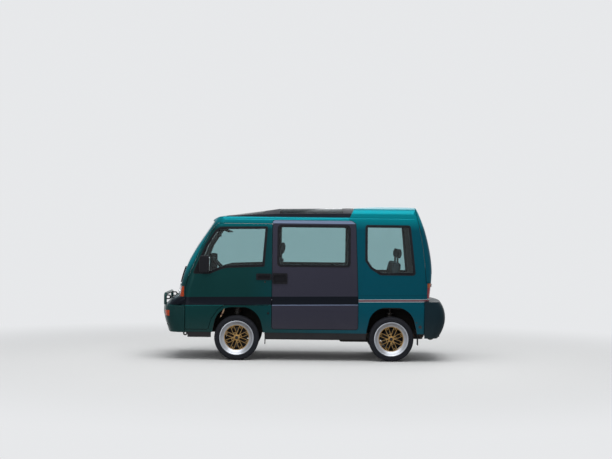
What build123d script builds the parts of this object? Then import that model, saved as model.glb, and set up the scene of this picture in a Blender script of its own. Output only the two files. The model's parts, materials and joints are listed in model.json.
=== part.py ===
from build123d import *
import os
from math import cos, radians, sin

# A cab-over minibus with a raised rear roof and glass sunroof panels.
# Millimetres; the nose points to -X, the driver's left side to -Y, up is +Z,
# and the origin is on the ground under the middle of the vehicle.

# Driving dimensions
length = 3525.0
width = 1415.0
front_axle_x = -822.5
wheelbase = 1885.0
tyre_radius = 273.0
tyre_width = 165.0
wheel_face_inset = 2.5
wall = 45.0
shut_gap = 6.0
fit = 0.3

# Heights of the body's main lines
sill_z = 340.0
belt_z = 672.0
ledge_drop = 8.0
ledge_height = 16.0
screen_base_z = 908.0
tail_base_z = 742.0
roof_split_z = 1722.0

# Lengthways stations of the body's shut lines
door_front_x = -1455.0
door_rear_x = -397.0
door_inner_y = 540.0
door_edge_inner_y = 590.0
door_edge_reach = 60.0
door_swing_clearance = 8.0
slide_rear_x = 655.0
tail_cut_x = 1466.0

rear_axle_x = front_axle_x + wheelbase
nose_x = -length / 2
half_width = width / 2
wheel_y = half_width - wheel_face_inset - tyre_width / 2

# Glass, seals and panels
glass_thickness = 5.0
glass_depth = 12.0
seal_depth = 24.0
seal_proud = 2.0
handle_proud = 14.0

# Wheels
rim_radius = 208.0
seat_radius = 190.0
barrel_thickness = 6.0
rim_half_width = 76.0
lip_depth = 42.0
dish_radius = 150.0
spoke_pairs = 8
spoke_split = 9.0
spoke_width = 10.0
spoke_depth = 16.0
hub_radius = 62.0
hub_flange_depth = 20.0
hub_boss_radius = 54.0
spindle_radius = 15.0
spindle_clearance = 0.05

# Steering and suspension
kingpin_y = 590.0
kingpin_half_height = 110.0
pin_radius = 10.0
arm_thickness = 24.0
rail_inner_y = 330.0
rail_outer_y = 380.0
rail_bottom_z = 320.0
floor_z = 400.0
floor_thickness = 30.0
platform_z = 640.0
hub_back = 26.0

os.makedirs("parts", exist_ok=True)


def plan_loft(levels, inset):
    # A smooth form through plan sections. Columns of a level: height, nose at the middle, nose at
    # the corners, tail at the middle, tail at the corners, tuck from the half width, corner radii
    with BuildPart() as form:
        for z, nose, nose_edge, tail, tail_edge, tuck, nose_r, tail_r in levels:
            half = half_width - tuck - inset
            with BuildSketch(Plane.XY.offset(z)):
                with BuildLine():
                    ThreePointArc((nose_edge + inset, -half), (nose + inset, 0), (nose_edge + inset, half))
                    Line((nose_edge + inset, half), (tail_edge - inset, half))
                    ThreePointArc((tail_edge - inset, half), (tail - inset, 0), (tail_edge - inset, -half))
                    Line((tail_edge - inset, -half), (nose_edge + inset, -half))
                make_face()
                fillet(vertices().group_by(Axis.X)[0], nose_r - inset)
                fillet(vertices().group_by(Axis.X)[-1], tail_r - inset)
        loft()
    return form.part


upper_levels = (
    # height, nose, nose edge, tail, tail edge, tuck, nose radius, tail radius
    (belt_z + ledge_height, -1606, -1532, 1562, 1520, ledge_drop, 150, 110),
    (890, -1562, -1490, 1572, 1528, 9, 150, 110),
    (1090, -1512, -1436, 1584, 1540, 14, 145, 105),
    (1310, -1412, -1330, 1562, 1520, 34, 135, 105),
    (1530, -1272, -1188, 1514, 1474, 64, 130, 100),
    (1760, -1120, -1030, 1438, 1400, 103, 120, 95),
    (1920, -1010, -920, 1360, 1322, 140, 110, 95),
)
lower_levels = (
    (sill_z, -1600, -1526, 1560, 1518, 14, 150, 110),
    (500, -1604, -1530, 1562, 1520, 4, 150, 110),
    (belt_z, -1606, -1532, 1562, 1520, 0, 150, 110),
)
ledge_levels = (lower_levels[-1], upper_levels[0])

# The walls hidden behind the bumpers are set in by the depth of the body wall
core_wall = 20.0
core_levels = lower_levels[:2] + ((tail_base_z, -1606, -1532, 1562, 1520, ledge_drop, 150, 110),)


def low_roof_limits(inset):
    # What the lower roof leaves of the body: its cross-section and its side profile
    side = 603 - inset
    crown = 1768 - inset
    with BuildPart() as limit:
        with BuildSketch(Plane.YZ.offset(nose_x)):
            with BuildLine():
                Polyline((-side, 1724), (-820, 1500), (-820, 100), (820, 100), (820, 1500), (side, 1724))
                ThreePointArc((side, 1724), (side - 8, 1742 - inset / 2), (side - 28, 1748 - inset))
                ThreePointArc((side - 28, 1748 - inset), (0, crown), (28 - side, 1748 - inset))
                ThreePointArc((28 - side, 1748 - inset), (8 - side, 1742 - inset / 2), (-side, 1724))
            make_face()
        extrude(amount=length)
        with BuildSketch(Plane.XZ.offset(-width)):
            with BuildLine():
                Polyline((inset - 1180, 1690), (-1900, 1300), (-1900, 100), (1900, 100), (1900, crown),
                         (-800, crown))
                ThreePointArc((-800, crown), (inset / 2 - 1020, crown - 14), (inset - 1180, 1690))
            make_face()
        extrude(amount=2 * width, mode=Mode.INTERSECT)
    return limit.part


def high_roof_limits(inset):
    # The raised roof over the rear seats: its cross-section and its side profile
    side = 604 - inset
    crown = 1891 - inset
    start = 542 + inset
    end = 1418 - inset
    with BuildPart() as limit:
        with BuildSketch(Plane.YZ.offset(nose_x)):
            with BuildLine():
                Polyline((-side, 1742), (-820, 1500), (820, 1500), (side, 1742))
                ThreePointArc((side, 1742), (side - 24, crown - 67), (side - 99, crown - 29))
                ThreePointArc((side - 99, crown - 29), (0, crown), (99 - side, crown - 29))
                ThreePointArc((99 - side, crown - 29), (24 - side, crown - 67), (-side, 1742))
            make_face()
        extrude(amount=length)
        with BuildSketch(Plane.XZ.offset(-width)):
            with BuildLine():
                Polyline((start + 62, crown - 25), (start, 1740), (start, 1600), (1800, 1600), (end, 1805))
                ThreePointArc((end, 1805), (end - 26, crown - 29), (end - 83, crown - 7))
                ThreePointArc((end - 83, crown - 7), (960, crown), (start + 62, crown - 25))
            make_face()
        extrude(amount=2 * width, mode=Mode.INTERSECT)
    return limit.part


def body_form(inset):
    # The whole closed body, every face moved in by the inset
    with BuildPart() as low:
        for levels in (lower_levels, ledge_levels, upper_levels):
            add(plan_loft(levels, inset))
        add(low_roof_limits(inset), mode=Mode.INTERSECT)
    with BuildPart() as high:
        add(plan_loft(upper_levels, inset))
        add(high_roof_limits(inset), mode=Mode.INTERSECT)
    with BuildPart() as whole:
        add(low.part)
        add(high.part)
    return whole.part


def layer(front, back):
    with BuildPart() as skin:
        add(front)
        add(back, mode=Mode.SUBTRACT)
    return skin.part


# The body wall, and the thinner layers that its windows and seals lie in
shell = layer(body_form(0), body_form(wall))
glass_skin = layer(plan_loft(upper_levels, glass_depth), plan_loft(upper_levels, glass_depth + glass_thickness))
seal_skin = layer(plan_loft(upper_levels, -seal_proud), plan_loft(upper_levels, seal_depth))
handle_skin = layer(plan_loft(upper_levels, -handle_proud), plan_loft(upper_levels, -fit))


def outline(points, radius):
    with BuildSketch() as flat:
        with BuildLine():
            Polyline(*points, close=True)
        make_face()
        fillet(flat.vertices(), radius)
    return flat.sketch


def side_block(shape, grow, inner_y=350):
    # A block through the left side wall, its outline drawn in X and Z
    with BuildPart() as block:
        with BuildSketch(Plane.XZ.offset(inner_y)):
            add(shape)
            if grow:
                offset(amount=grow)
        extrude(amount=half_width)
    return block.part


def end_block(shape, grow, start, depth):
    # A block through the nose or the tail, its outline drawn in Y and Z
    with BuildPart() as block:
        with BuildSketch(Plane.YZ.offset(start)):
            add(shape)
            if grow:
                offset(amount=grow)
        extrude(amount=depth)
    return block.part


def box_block(x0, x1, y0, y1, z0, z1):
    with BuildPart() as block:
        with BuildSketch(Plane.XY.offset(z0)):
            with Locations(((x0 + x1) / 2, (y0 + y1) / 2)):
                Rectangle(x1 - x0, y1 - y0)
        extrude(amount=z1 - z0)
    return block.part


def twin_blocks(x0, x1, y0, y1, z0, z1):
    # The same block on the right side and on the left
    with BuildPart() as pair:
        add(box_block(x0, x1, y0, y1, z0, z1))
        add(box_block(x0, x1, -y1, -y0, z0, z1))
    return pair.part


def mirrored(part):
    with BuildPart() as other:
        mirror(part, about=Plane.XZ)
    return other.part


# Shut lines and window outlines, drawn in X and Z
front_door_line = outline((
    (door_rear_x, roof_split_z - 54), (-1066, 1668), (-1118, 1614), (-1245, 1412), (-1402, 1056),
    (door_front_x, 880), (door_front_x, sill_z + 32), (front_axle_x - 350, sill_z + 32),
    (front_axle_x - 312, 500), (front_axle_x - 236, 612), (front_axle_x - 150, belt_z),
    (door_rear_x, belt_z),
), 14)
slide_door_line = outline((
    (door_rear_x, 384), (slide_rear_x, 384), (slide_rear_x, 738), (slide_rear_x - 33, 1675),
    (slide_rear_x - 85, 1712), (door_rear_x, 1712),
), 30)
front_window_line = outline((
    (-1364, 1048), (-1158, 1048), (-1024, 1104), (-952, 1123), (-490, 1142),
    (-453, 1633), (-1036, 1624), (-1094, 1584), (-1213, 1406),
), 16)
slide_window_line = outline(((-336, 1141), (559, 1141), (559, 1656), (-336, 1656)), 48)
quarter_window_line = outline((
    (922, 1051), (1354, 1051), (1290, 1663), (736, 1663), (736, 1225), (800, 1130),
), 34)
window_rubber = 30.0
# The black corner piece of the front window, which carries the door mirror
garnish_line = outline(((-1420, 1000), (-1262, 1330), (-1150, 1120), (-1150, 1000)), 4)


with BuildSketch() as front_arch_sketch:
    with BuildLine():
        Polyline((front_axle_x - 304, 200), (front_axle_x - 302, 330), (front_axle_x - 274, 465))
        ThreePointArc((front_axle_x - 274, 465), (front_axle_x - 200, 592), (front_axle_x - 62, 648))
        Line((front_axle_x - 62, 648), (front_axle_x + 100, 648))
        ThreePointArc((front_axle_x + 100, 648), (front_axle_x + 238, 570), (front_axle_x + 300, 450))
        Polyline((front_axle_x + 300, 450), (front_axle_x + 330, 313), (front_axle_x + 332, 200))
        Line((front_axle_x + 332, 200), (front_axle_x - 304, 200))
    make_face()
front_arch_line = front_arch_sketch.sketch

with BuildSketch() as rear_arch_sketch:
    with BuildLine():
        Polyline((rear_axle_x - 306, 200), (rear_axle_x - 303, 374), (rear_axle_x - 280, 472))
        ThreePointArc((rear_axle_x - 280, 472), (rear_axle_x - 222, 592), (rear_axle_x - 80, 658))
        Line((rear_axle_x - 80, 658), (rear_axle_x + 100, 658))
        ThreePointArc((rear_axle_x + 100, 658), (rear_axle_x + 222, 592), (rear_axle_x + 284, 472))
        Polyline((rear_axle_x + 284, 472), (rear_axle_x + 308, 370), (rear_axle_x + 316, 200))
        Line((rear_axle_x + 316, 200), (rear_axle_x - 306, 200))
    make_face()
rear_arch_line = rear_arch_sketch.sketch

# The tailgate wraps round the corners above the lamps and goes down between them
tail_upper_line = outline((
    (1357, 1960), (1357, 1832), (1398, 1658), (1442, 1414), (1467, 1207), (1479, 1049),
    (1484, 966), (1800, 966), (1800, 1960),
), 2)
lamp_inner_y = 548.0
lamp_top_z = 957.0
screen_line = outline(((-592, 916), (592, 916), (512, 1698), (-512, 1698)), 80)
tail_window_line = outline(((-575, 1066), (575, 1066), (520, 1652), (-520, 1652)), 60)

gap = shut_gap / 2

with BuildPart() as tail_region:
    with BuildSketch(Plane.XZ.offset(-width)):
        add(tail_upper_line)
    extrude(amount=2 * width)
    add(box_block(1484, 1800, -lamp_inner_y, lamp_inner_y, tail_base_z, 970))

with BuildPart() as tail_opening:
    with BuildSketch(Plane.XZ.offset(-width)):
        add(tail_upper_line)
        offset(amount=shut_gap)
    extrude(amount=2 * width)
    add(box_block(1484 - shut_gap, 1800, -lamp_inner_y - shut_gap, lamp_inner_y + shut_gap,
                  tail_base_z - shut_gap, 970))

# Body sides: pillars, sill, arches and rear quarter
with BuildPart() as side_wall:
    add(shell)
    add(box_block(-1800, 1800, -800, 0, sill_z - 10, roof_split_z), mode=Mode.INTERSECT)

core = layer(plan_loft(core_levels, wall), plan_loft(core_levels, wall + core_wall))
with BuildPart() as under_nose:
    # The hidden wall behind the front bumper, set in to leave it room
    add(core)
    add(box_block(-1800, door_front_x - gap, -800, 800, sill_z, belt_z), mode=Mode.INTERSECT)

with BuildPart() as under_tail:
    add(core)
    add(box_block(tail_cut_x - 30, 1800, -800, 0, sill_z, tail_base_z - shut_gap), mode=Mode.INTERSECT)
    add(box_block(1500, 1514, -30, 0, tail_base_z - shut_gap - 20, tail_base_z - fit))

def lamp_corner(grow):
    # The space of the left tail lamp, in the rear corner beside the tailgate
    return box_block(1499 - grow, 1800, -800, -556 + grow, 752 - grow, lamp_top_z + grow)


with BuildPart() as body_side_left:
    add(side_wall)
    add(box_block(-1800, door_front_x - gap, -800, 10, 0, screen_base_z), mode=Mode.SUBTRACT)
    add(box_block(-1800, -1000, -480, 10, screen_base_z - 10, roof_split_z + 10), mode=Mode.SUBTRACT)
    add(end_block(screen_line, 0, nose_x, 900), mode=Mode.SUBTRACT)
    add(side_block(front_door_line, gap), mode=Mode.SUBTRACT)
    add(side_block(slide_door_line, gap), mode=Mode.SUBTRACT)
    add(side_block(quarter_window_line, fit), mode=Mode.SUBTRACT)
    add(side_block(front_arch_line, 0), mode=Mode.SUBTRACT)
    add(side_block(rear_arch_line, 0), mode=Mode.SUBTRACT)
    add(tail_opening, mode=Mode.SUBTRACT)
    add(box_block(tail_cut_x - gap, 1800, -800, 10, 0, tail_base_z - shut_gap), mode=Mode.SUBTRACT)
    add(lamp_corner(0.5), mode=Mode.SUBTRACT)
    add(under_tail)
body_side_left.part.label = "body_side_left"
export_step(body_side_left.part, "parts/body_side_left.step")

with BuildPart() as body_side_right:
    add(mirrored(body_side_left.part))
body_side_right.part.label = "body_side_right"
export_step(body_side_right.part, "parts/body_side_right.step")


def save(part, name):
    part.label = name
    export_step(part, f"parts/{name}.step")


def nose_form(levels, end_x, inset):
    # A form that wraps round the nose and ends square at end_x
    with BuildPart() as form:
        for z, nose, nose_edge, tuck, corner in levels:
            half = half_width - tuck - inset
            with BuildSketch(Plane.XY.offset(z)):
                with BuildLine():
                    ThreePointArc((nose_edge + inset, -half), (nose + inset, 0), (nose_edge + inset, half))
                    Polyline((nose_edge + inset, half), (end_x, half), (end_x, -half),
                             (nose_edge + inset, -half))
                make_face()
                fillet(vertices().group_by(Axis.X)[0], corner - inset)
        loft()
    return form.part


# Nose panel below the windscreen, with its pockets for the lamps and the grille
lamp_low_z = 768.0
lamp_high_z = 892.0
lamp_inner = 372.0
indicator_inner = 612.0
grille_half = 352.0
grille_low_z = 774.0
grille_high_z = 886.0
pocket_back_x = -1470.0
apron_levels = (
    # height, nose, nose edge, tuck, corner radius
    (belt_z - 12, -1728, -1640, 30, 150),
    (belt_z + 34, -1690, -1606, 16, 150),
    (lamp_low_z - 4, -1604, -1530, 9, 150),
)
lens_thickness = 6.0
lamp_layer = layer(plan_loft(upper_levels, 1), plan_loft(upper_levels, wall - 10))
lens_layer = layer(plan_loft(upper_levels, 1), plan_loft(upper_levels, 1 + lens_thickness))
bowl_layer = layer(plan_loft(upper_levels, 1 + lens_thickness + fit), plan_loft(upper_levels, wall - 1))
grille_layer = layer(plan_loft(upper_levels, 14), plan_loft(upper_levels, 34))


def lamp_block(inner, outer_y, grow):
    # Both lamp spaces, left and right, as blocks through the nose
    return twin_blocks(-1800, pocket_back_x + grow, inner - grow, outer_y + grow,
                       lamp_low_z - grow, lamp_high_z + grow)


with BuildPart() as apron:
    add(nose_form(apron_levels, -1300, 0))
    add(plan_loft(lower_levels + upper_levels[:2], wall), mode=Mode.SUBTRACT)

with BuildPart() as front_panel:
    add(shell)
    add(apron)
    add(box_block(-1800, door_front_x - gap, -800, 800, belt_z - 12, screen_base_z), mode=Mode.INTERSECT)
    add(under_nose)
    add(lamp_block(lamp_inner, 900, 0.5), mode=Mode.SUBTRACT)
    add(box_block(-1800, pocket_back_x, -grille_half, grille_half, grille_low_z, grille_high_z),
        mode=Mode.SUBTRACT)
save(front_panel.part, "front_panel")

with BuildPart() as headlamps:
    add(lens_layer)
    add(lamp_block(lamp_inner, indicator_inner, 0), mode=Mode.INTERSECT)
save(headlamps.part, "headlamps")

# Reflectors behind the headlamp glass, two round bowls in each housing
bowl_radius = 62.0
lamp_bowls = (
    # x of the bowl's centre, distance from the middle
    (-1569, 435),
    (-1553, 548),
)
with BuildPart() as lamp_housings:
    add(bowl_layer)
    add(lamp_block(lamp_inner, indicator_inner, 0), mode=Mode.INTERSECT)
    for x, y in lamp_bowls:
        with Locations((x, -y, (lamp_low_z + lamp_high_z) / 2), (x, y, (lamp_low_z + lamp_high_z) / 2)):
            Sphere(bowl_radius, mode=Mode.SUBTRACT)
save(lamp_housings.part, "lamp_housings")

# Front bumper: a wrap-round shell with a closed top
front_bumper_levels = (
    # height, nose, nose edge, tuck, corner radius
    (334, nose_x + 62, nose_x + 150, 16, 170),
    (420, nose_x + 34, nose_x + 124, 6, 170),
    (540, nose_x + 4, nose_x + 96, 0, 170),
    (belt_z - 14, nose_x + 8, nose_x + 98, 0, 170),
)
rear_bumper_levels = (
    (286, nose_x + 84, nose_x + 150, 14, 130),
    (400, nose_x + 22, nose_x + 84, 4, 130),
    (590, nose_x + 5, nose_x + 65, 0, 130),
    (tail_base_z - 12, nose_x + 70, nose_x + 128, 3, 130),
)
bumper_wall = 30.0


def bumper(levels, end_x, core_block):
    inner_levels = ((levels[0][0] - 1,) + levels[0][1:],) + levels[1:-1] + (
        (levels[-1][0] - bumper_wall,) + levels[-1][1:],)
    with BuildPart() as cover:
        add(nose_form(levels, end_x, 0))
        add(nose_form(inner_levels, end_x + 1, bumper_wall), mode=Mode.SUBTRACT)
        add(core_block, mode=Mode.SUBTRACT)
    return cover.part


def bumper_band(inner_inset, outer_inset, y0, y1, z0, z1):
    # A band of the front bumper's skin on both sides of the nose, between two depths
    with BuildPart() as band:
        add(layer(nose_form(front_bumper_levels, door_front_x, outer_inset),
                  nose_form(front_bumper_levels, door_front_x + 1, inner_inset)))
        add(twin_blocks(-1800, side_lamp_rear_x, y0, y1, z0, z1), mode=Mode.INTERSECT)
    return band.part


# Its turn lamps wrap round the corners, over a groove and an air intake in the middle
side_lamp_low_z = 530.0
side_lamp_high_z = 600.0
side_lamp_inner_y = 505.0
side_lamp_rear_x = -1646.0
side_lamp_depth = 12.0
groove_low_z = 416.0
groove_depth = 9.0
intake_line = outline(((-330, 452), (330, 452), (330, 512), (-330, 512)), 22)
with BuildPart() as front_bumper:
    add(bumper(front_bumper_levels, door_front_x - gap, plan_loft(core_levels, wall - fit)))
    add(bumper_band(side_lamp_depth + 2, -5, side_lamp_inner_y - 0.5, 800, side_lamp_low_z - 0.5,
                    side_lamp_high_z + 0.5), mode=Mode.SUBTRACT)
    add(bumper_band(groove_depth, -5, 0, 800, groove_low_z, groove_low_z + 18), mode=Mode.SUBTRACT)
    add(end_block(intake_line, 0, nose_x - 10, 120), mode=Mode.SUBTRACT)
save(front_bumper.part, "front_bumper")

tail_core = mirror(plan_loft(core_levels, wall - fit), about=Plane.YZ)
with BuildPart() as rear_bumper:
    add(mirror(bumper(rear_bumper_levels, -tail_cut_x, tail_core), about=Plane.YZ, mode=Mode.PRIVATE))
save(rear_bumper.part, "rear_bumper")

with BuildPart() as corner_indicators:
    add(lamp_layer)
    add(lamp_block(indicator_inner + 0.5, 900, 0), mode=Mode.INTERSECT)

with BuildPart() as front_indicators:
    add(corner_indicators.part)
    add(bumper_band(side_lamp_depth + 2 - fit, 1, side_lamp_inner_y, 800, side_lamp_low_z, side_lamp_high_z))
save(front_indicators.part, "front_indicators")

# Grille: slats across the nose between the headlamps
with BuildPart() as grille:
    add(grille_layer)
    add(box_block(-1800, pocket_back_x, -grille_half + fit, grille_half - fit, grille_low_z + fit,
                  grille_high_z - fit), mode=Mode.INTERSECT)
    for row in range(4):
        with Locations((-1560, 0, grille_low_z + 20 + 24 * row)):
            Box(200, 2 * grille_half - 30, 12, mode=Mode.SUBTRACT)
save(grille.part, "grille")

# Roof: the low front part, the raised rear part and the header over the windscreen
sunroof_openings = (
    # front x, rear x, half width
    (-900, -520, 440),
    (-300, 450, 440),
)
with BuildPart() as header:
    add(shell)
    add(box_block(-1800, -1000, -480 + 0.5, 480 - 0.5, 1600, roof_split_z), mode=Mode.INTERSECT)
    add(end_block(screen_line, 0, nose_x, 900), mode=Mode.SUBTRACT)

with BuildPart() as roof_panel:
    add(shell)
    add(box_block(-1800, 1800, -800, 800, roof_split_z, 2000), mode=Mode.INTERSECT)
    add(tail_opening, mode=Mode.SUBTRACT)
    for x0, x1, half in sunroof_openings:
        add(box_block(x0, x1, -half, half, 1650, 1800), mode=Mode.SUBTRACT)
    add(header.part)
save(roof_panel.part, "roof_panel")

# Wheels, turned about their axle with the outer face towards -Y
def placed(part, x, y, z):
    with BuildPart() as moved:
        with Locations((x, y, z)):
            add(part)
    return moved.part


lip_y = -rim_half_width + lip_depth
with BuildPart() as rim_form:
    with BuildSketch(Plane.XY):
        with BuildLine():
            Polyline(
                (rim_radius, -rim_half_width), (rim_radius, -rim_half_width + 6),
                (seat_radius, -rim_half_width + 10), (seat_radius, rim_half_width - 10),
                (rim_radius, rim_half_width - 6), (rim_radius, rim_half_width),
                (rim_radius - barrel_thickness, rim_half_width),
                (seat_radius - barrel_thickness, rim_half_width - 7),
                (seat_radius - barrel_thickness, -rim_half_width + 7),
                (rim_radius - barrel_thickness, -rim_half_width), close=True)
        make_face()
    revolve(axis=Axis.Y)
    # The dished lip, from the barrel in to the spokes
    dish_outer = seat_radius - barrel_thickness + 1
    with BuildSketch(Plane.XY):
        with BuildLine():
            Polyline((dish_outer, lip_y - 24), (dish_radius + 6, lip_y), (dish_radius - 7, lip_y),
                     (dish_radius - 7, lip_y + spoke_depth), (dish_outer, lip_y + spoke_depth), close=True)
        make_face()
    revolve(axis=Axis.Y)
    # Eight forked pairs of spokes
    with BuildSketch(Plane.XZ.offset(-lip_y - 2)):
        with BuildLine():
            for pair in range(spoke_pairs):
                root = 360 / spoke_pairs * (pair + 0.5)
                for side in (-1, 1):
                    start = root + side * 2 * spoke_split
                    fork = root + side * spoke_split * 0.8
                    tip = root + side * spoke_split * 1.3
                    Polyline((0.5 * hub_radius * cos(radians(start)), 0.5 * hub_radius * sin(radians(start))),
                             (1.55 * hub_radius * cos(radians(fork)), 1.55 * hub_radius * sin(radians(fork))),
                             ((dish_radius - 2) * cos(radians(tip)), (dish_radius - 2) * sin(radians(tip))))
        trace(line_width=spoke_width)
    extrude(amount=-spoke_depth + 4)
    with BuildSketch(Plane.XZ.offset(-lip_y - 4)):
        Circle(hub_radius)
    extrude(amount=-hub_flange_depth)
    with BuildSketch(Plane.XZ.offset(-lip_y - 4)):
        Circle(hub_boss_radius)
    extrude(amount=-52)
    with BuildSketch(Plane.XZ.offset(-lip_y + 10)):
        Circle(30)
    extrude(amount=-20)
    with BuildSketch(Plane.XZ.offset(-lip_y - 12)):
        Circle(spindle_radius + spindle_clearance)
    extrude(amount=-80, mode=Mode.SUBTRACT)

with BuildPart() as tyre_form:
    with BuildSketch(Plane.XY):
        with BuildLine():
            side_y = tyre_width / 2
            Polyline(
                (seat_radius + fit, -rim_half_width + 11), (rim_radius + fit, -rim_half_width + 6.6),
                (rim_radius + fit, -rim_half_width - 1), (232, -side_y), (252, -side_y + 2),
                (tyre_radius - 5, -side_y + 14), (tyre_radius, -side_y + 34),
                (tyre_radius, side_y - 34), (tyre_radius - 5, side_y - 14), (252, side_y - 2),
                (232, side_y), (rim_radius + fit, rim_half_width + 1),
                (rim_radius + fit, rim_half_width - 6.6), (seat_radius + fit, rim_half_width - 11),
                close=True)
        make_face()
    revolve(axis=Axis.Y)

wheels = (
    # name, axle x, side
    ("front_left", front_axle_x, -1),
    ("front_right", front_axle_x, 1),
    ("rear_left", rear_axle_x, -1),
    ("rear_right", rear_axle_x, 1),
)
for name, axle_x, side in wheels:
    for form, kind in ((rim_form.part, "rim"), (tyre_form.part, "tyre")):
        left = placed(form, axle_x, -wheel_y, tyre_radius)
        piece = left if side < 0 else mirrored(left)
        save(piece, f"{kind}_{name}")

# Front knuckles: upright, pivot pins and the spindle that the wheel turns on
knuckle_half = kingpin_half_height - arm_thickness / 2 - 1
boss_half = 60.0
hub_face_y = wheel_y - hub_back - 1
spindle_end_y = wheel_y + 15
with BuildPart() as knuckle:
    with Locations((front_axle_x, -kingpin_y + 17, tyre_radius)):
        Box(56, 34, 2 * knuckle_half)
    for low in (-knuckle_half, boss_half):
        with BuildSketch(Plane.XY.offset(tyre_radius + low)):
            with Locations((front_axle_x, -kingpin_y)):
                Circle(20)
        extrude(amount=knuckle_half - boss_half)
    for low in (-kingpin_half_height - arm_thickness / 2, boss_half):
        with BuildSketch(Plane.XY.offset(tyre_radius + low)):
            with Locations((front_axle_x, -kingpin_y)):
                Circle(pin_radius)
        extrude(amount=kingpin_half_height + arm_thickness / 2 - boss_half)
    with BuildSketch(Plane.XZ.offset(kingpin_y - 30)):
        with Locations((front_axle_x, tyre_radius)):
            Circle(42)
    extrude(amount=hub_face_y - kingpin_y + 30)
    with BuildSketch(Plane.XZ.offset(kingpin_y - 30)):
        with Locations((front_axle_x, tyre_radius)):
            Circle(spindle_radius)
    extrude(amount=spindle_end_y - kingpin_y + 30)
save(knuckle.part, "front_knuckle_left")
save(mirrored(knuckle.part), "front_knuckle_right")

# Front suspension: wishbones, struts with their springs, and the upper pivot brackets
strut_y = 490.0
strut_radius = 22.0
with BuildPart() as suspension_side:
    for level in (-1, 1):
        low = tyre_radius + level * kingpin_half_height - arm_thickness / 2
        with BuildSketch(Plane.XY.offset(low)):
            with Locations((front_axle_x, -kingpin_y)):
                Circle(24)
            if level < 0:
                with BuildLine():
                    Polyline(
                        (front_axle_x - 22, -kingpin_y), (front_axle_x + 22, -kingpin_y),
                        (front_axle_x + 42, -510), (front_axle_x + 130, -rail_outer_y - fit),
                        (front_axle_x - 130, -rail_outer_y - fit), (front_axle_x - 42, -510), close=True)
                make_face()
            else:
                with Locations((front_axle_x, -(kingpin_y + strut_y) / 2)):
                    Rectangle(40, kingpin_y - strut_y)
            with Locations((front_axle_x, -kingpin_y)):
                Circle(pin_radius + spindle_clearance, mode=Mode.SUBTRACT)
        extrude(amount=arm_thickness)
    with BuildSketch(Plane.XY.offset(tyre_radius + kingpin_half_height - arm_thickness / 2)):
        with Locations((front_axle_x, -strut_y)):
            Circle(strut_radius)
    extrude(amount=platform_z - fit - tyre_radius - kingpin_half_height + arm_thickness / 2)
    for coil in range(4):
        with BuildSketch(Plane.XY.offset(560 + 20 * coil)):
            with Locations((front_axle_x, -strut_y)):
                Circle(46)
        extrude(amount=10)
with BuildPart() as front_suspension:
    add(suspension_side.part)
    mirror(suspension_side.part, about=Plane.XZ)
save(front_suspension.part, "front_suspension")

# Rear suspension: trailing arms, hubs with their spindles, springs and half shafts
arm_pivot_x = 690.0
with BuildPart() as rear_side:
    with BuildSketch(Plane.XZ.offset(440)):
        with BuildLine():
            Polyline((arm_pivot_x, 290), (rear_axle_x - 40, 240), (rear_axle_x + 60, 240),
                     (rear_axle_x + 60, 310), (rear_axle_x - 40, 310), (arm_pivot_x, 340), close=True)
        make_face()
    extrude(amount=84)
    with BuildSketch(Plane.XZ.offset(rail_outer_y + fit)):
        with Locations((arm_pivot_x + 26, 316)):
            Circle(24)
    extrude(amount=144)
    with BuildSketch(Plane.XZ.offset(500)):
        with Locations((rear_axle_x, tyre_radius)):
            Circle(42)
    extrude(amount=hub_face_y - 500)
    with BuildSketch(Plane.XZ.offset(500)):
        with Locations((rear_axle_x, tyre_radius)):
            Circle(spindle_radius)
    extrude(amount=spindle_end_y - 500)
    with BuildSketch(Plane.XY.offset(300)):
        with Locations((rear_axle_x - 10, -482)):
            Circle(20)
    extrude(amount=platform_z - fit - 300)
    for coil in range(8):
        with BuildSketch(Plane.XY.offset(330 + 34 * coil)):
            with Locations((rear_axle_x - 10, -482)):
                Circle(44)
        extrude(amount=14)
    with BuildSketch(Plane.XZ.offset(290 + fit)):
        with Locations((rear_axle_x, tyre_radius)):
            Circle(14)
    extrude(amount=160)
with BuildPart() as rear_suspension:
    add(rear_side.part)
    mirror(rear_side.part, about=Plane.XZ)
save(rear_suspension.part, "rear_suspension")

# Chassis: two rails, the cross members between them and the front sub-frame
cross_beams = (
    # x, half length, low z, high z
    (-1380, 30, rail_bottom_z + 6, floor_z - fit),
    (-300, 30, rail_bottom_z + 6, floor_z - fit),
    (360, 30, rail_bottom_z + 6, floor_z - fit),
    (780, 30, rail_bottom_z + 6, floor_z - fit),
)
jack_pad_x = 100.0
jack_pad_half = 45.0
jack_pad_height = 6.0
rail_front_x = -1505.0
rail_rear_x = 1478.0
engine_top_z = 596.0
hanger_front_x = 1112.0
hanger_thickness = 4.0
wishbone_z = tyre_radius - kingpin_half_height
with BuildPart() as chassis_rails:
    for side in (-1, 1):
        with BuildSketch(Plane.XY.offset(rail_bottom_z)):
            with Locations(((rail_front_x + rail_rear_x) / 2, side * (rail_inner_y + rail_outer_y) / 2)):
                Rectangle(rail_rear_x - rail_front_x, rail_outer_y - rail_inner_y)
        extrude(amount=floor_z - fit - rail_bottom_z)
    # Pads for the jack, one under each rail
    add(twin_blocks(jack_pad_x - jack_pad_half, jack_pad_x + jack_pad_half, rail_inner_y, rail_outer_y,
                    rail_bottom_z - jack_pad_height, rail_bottom_z))
save(chassis_rails.part, "chassis_rails")

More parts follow.
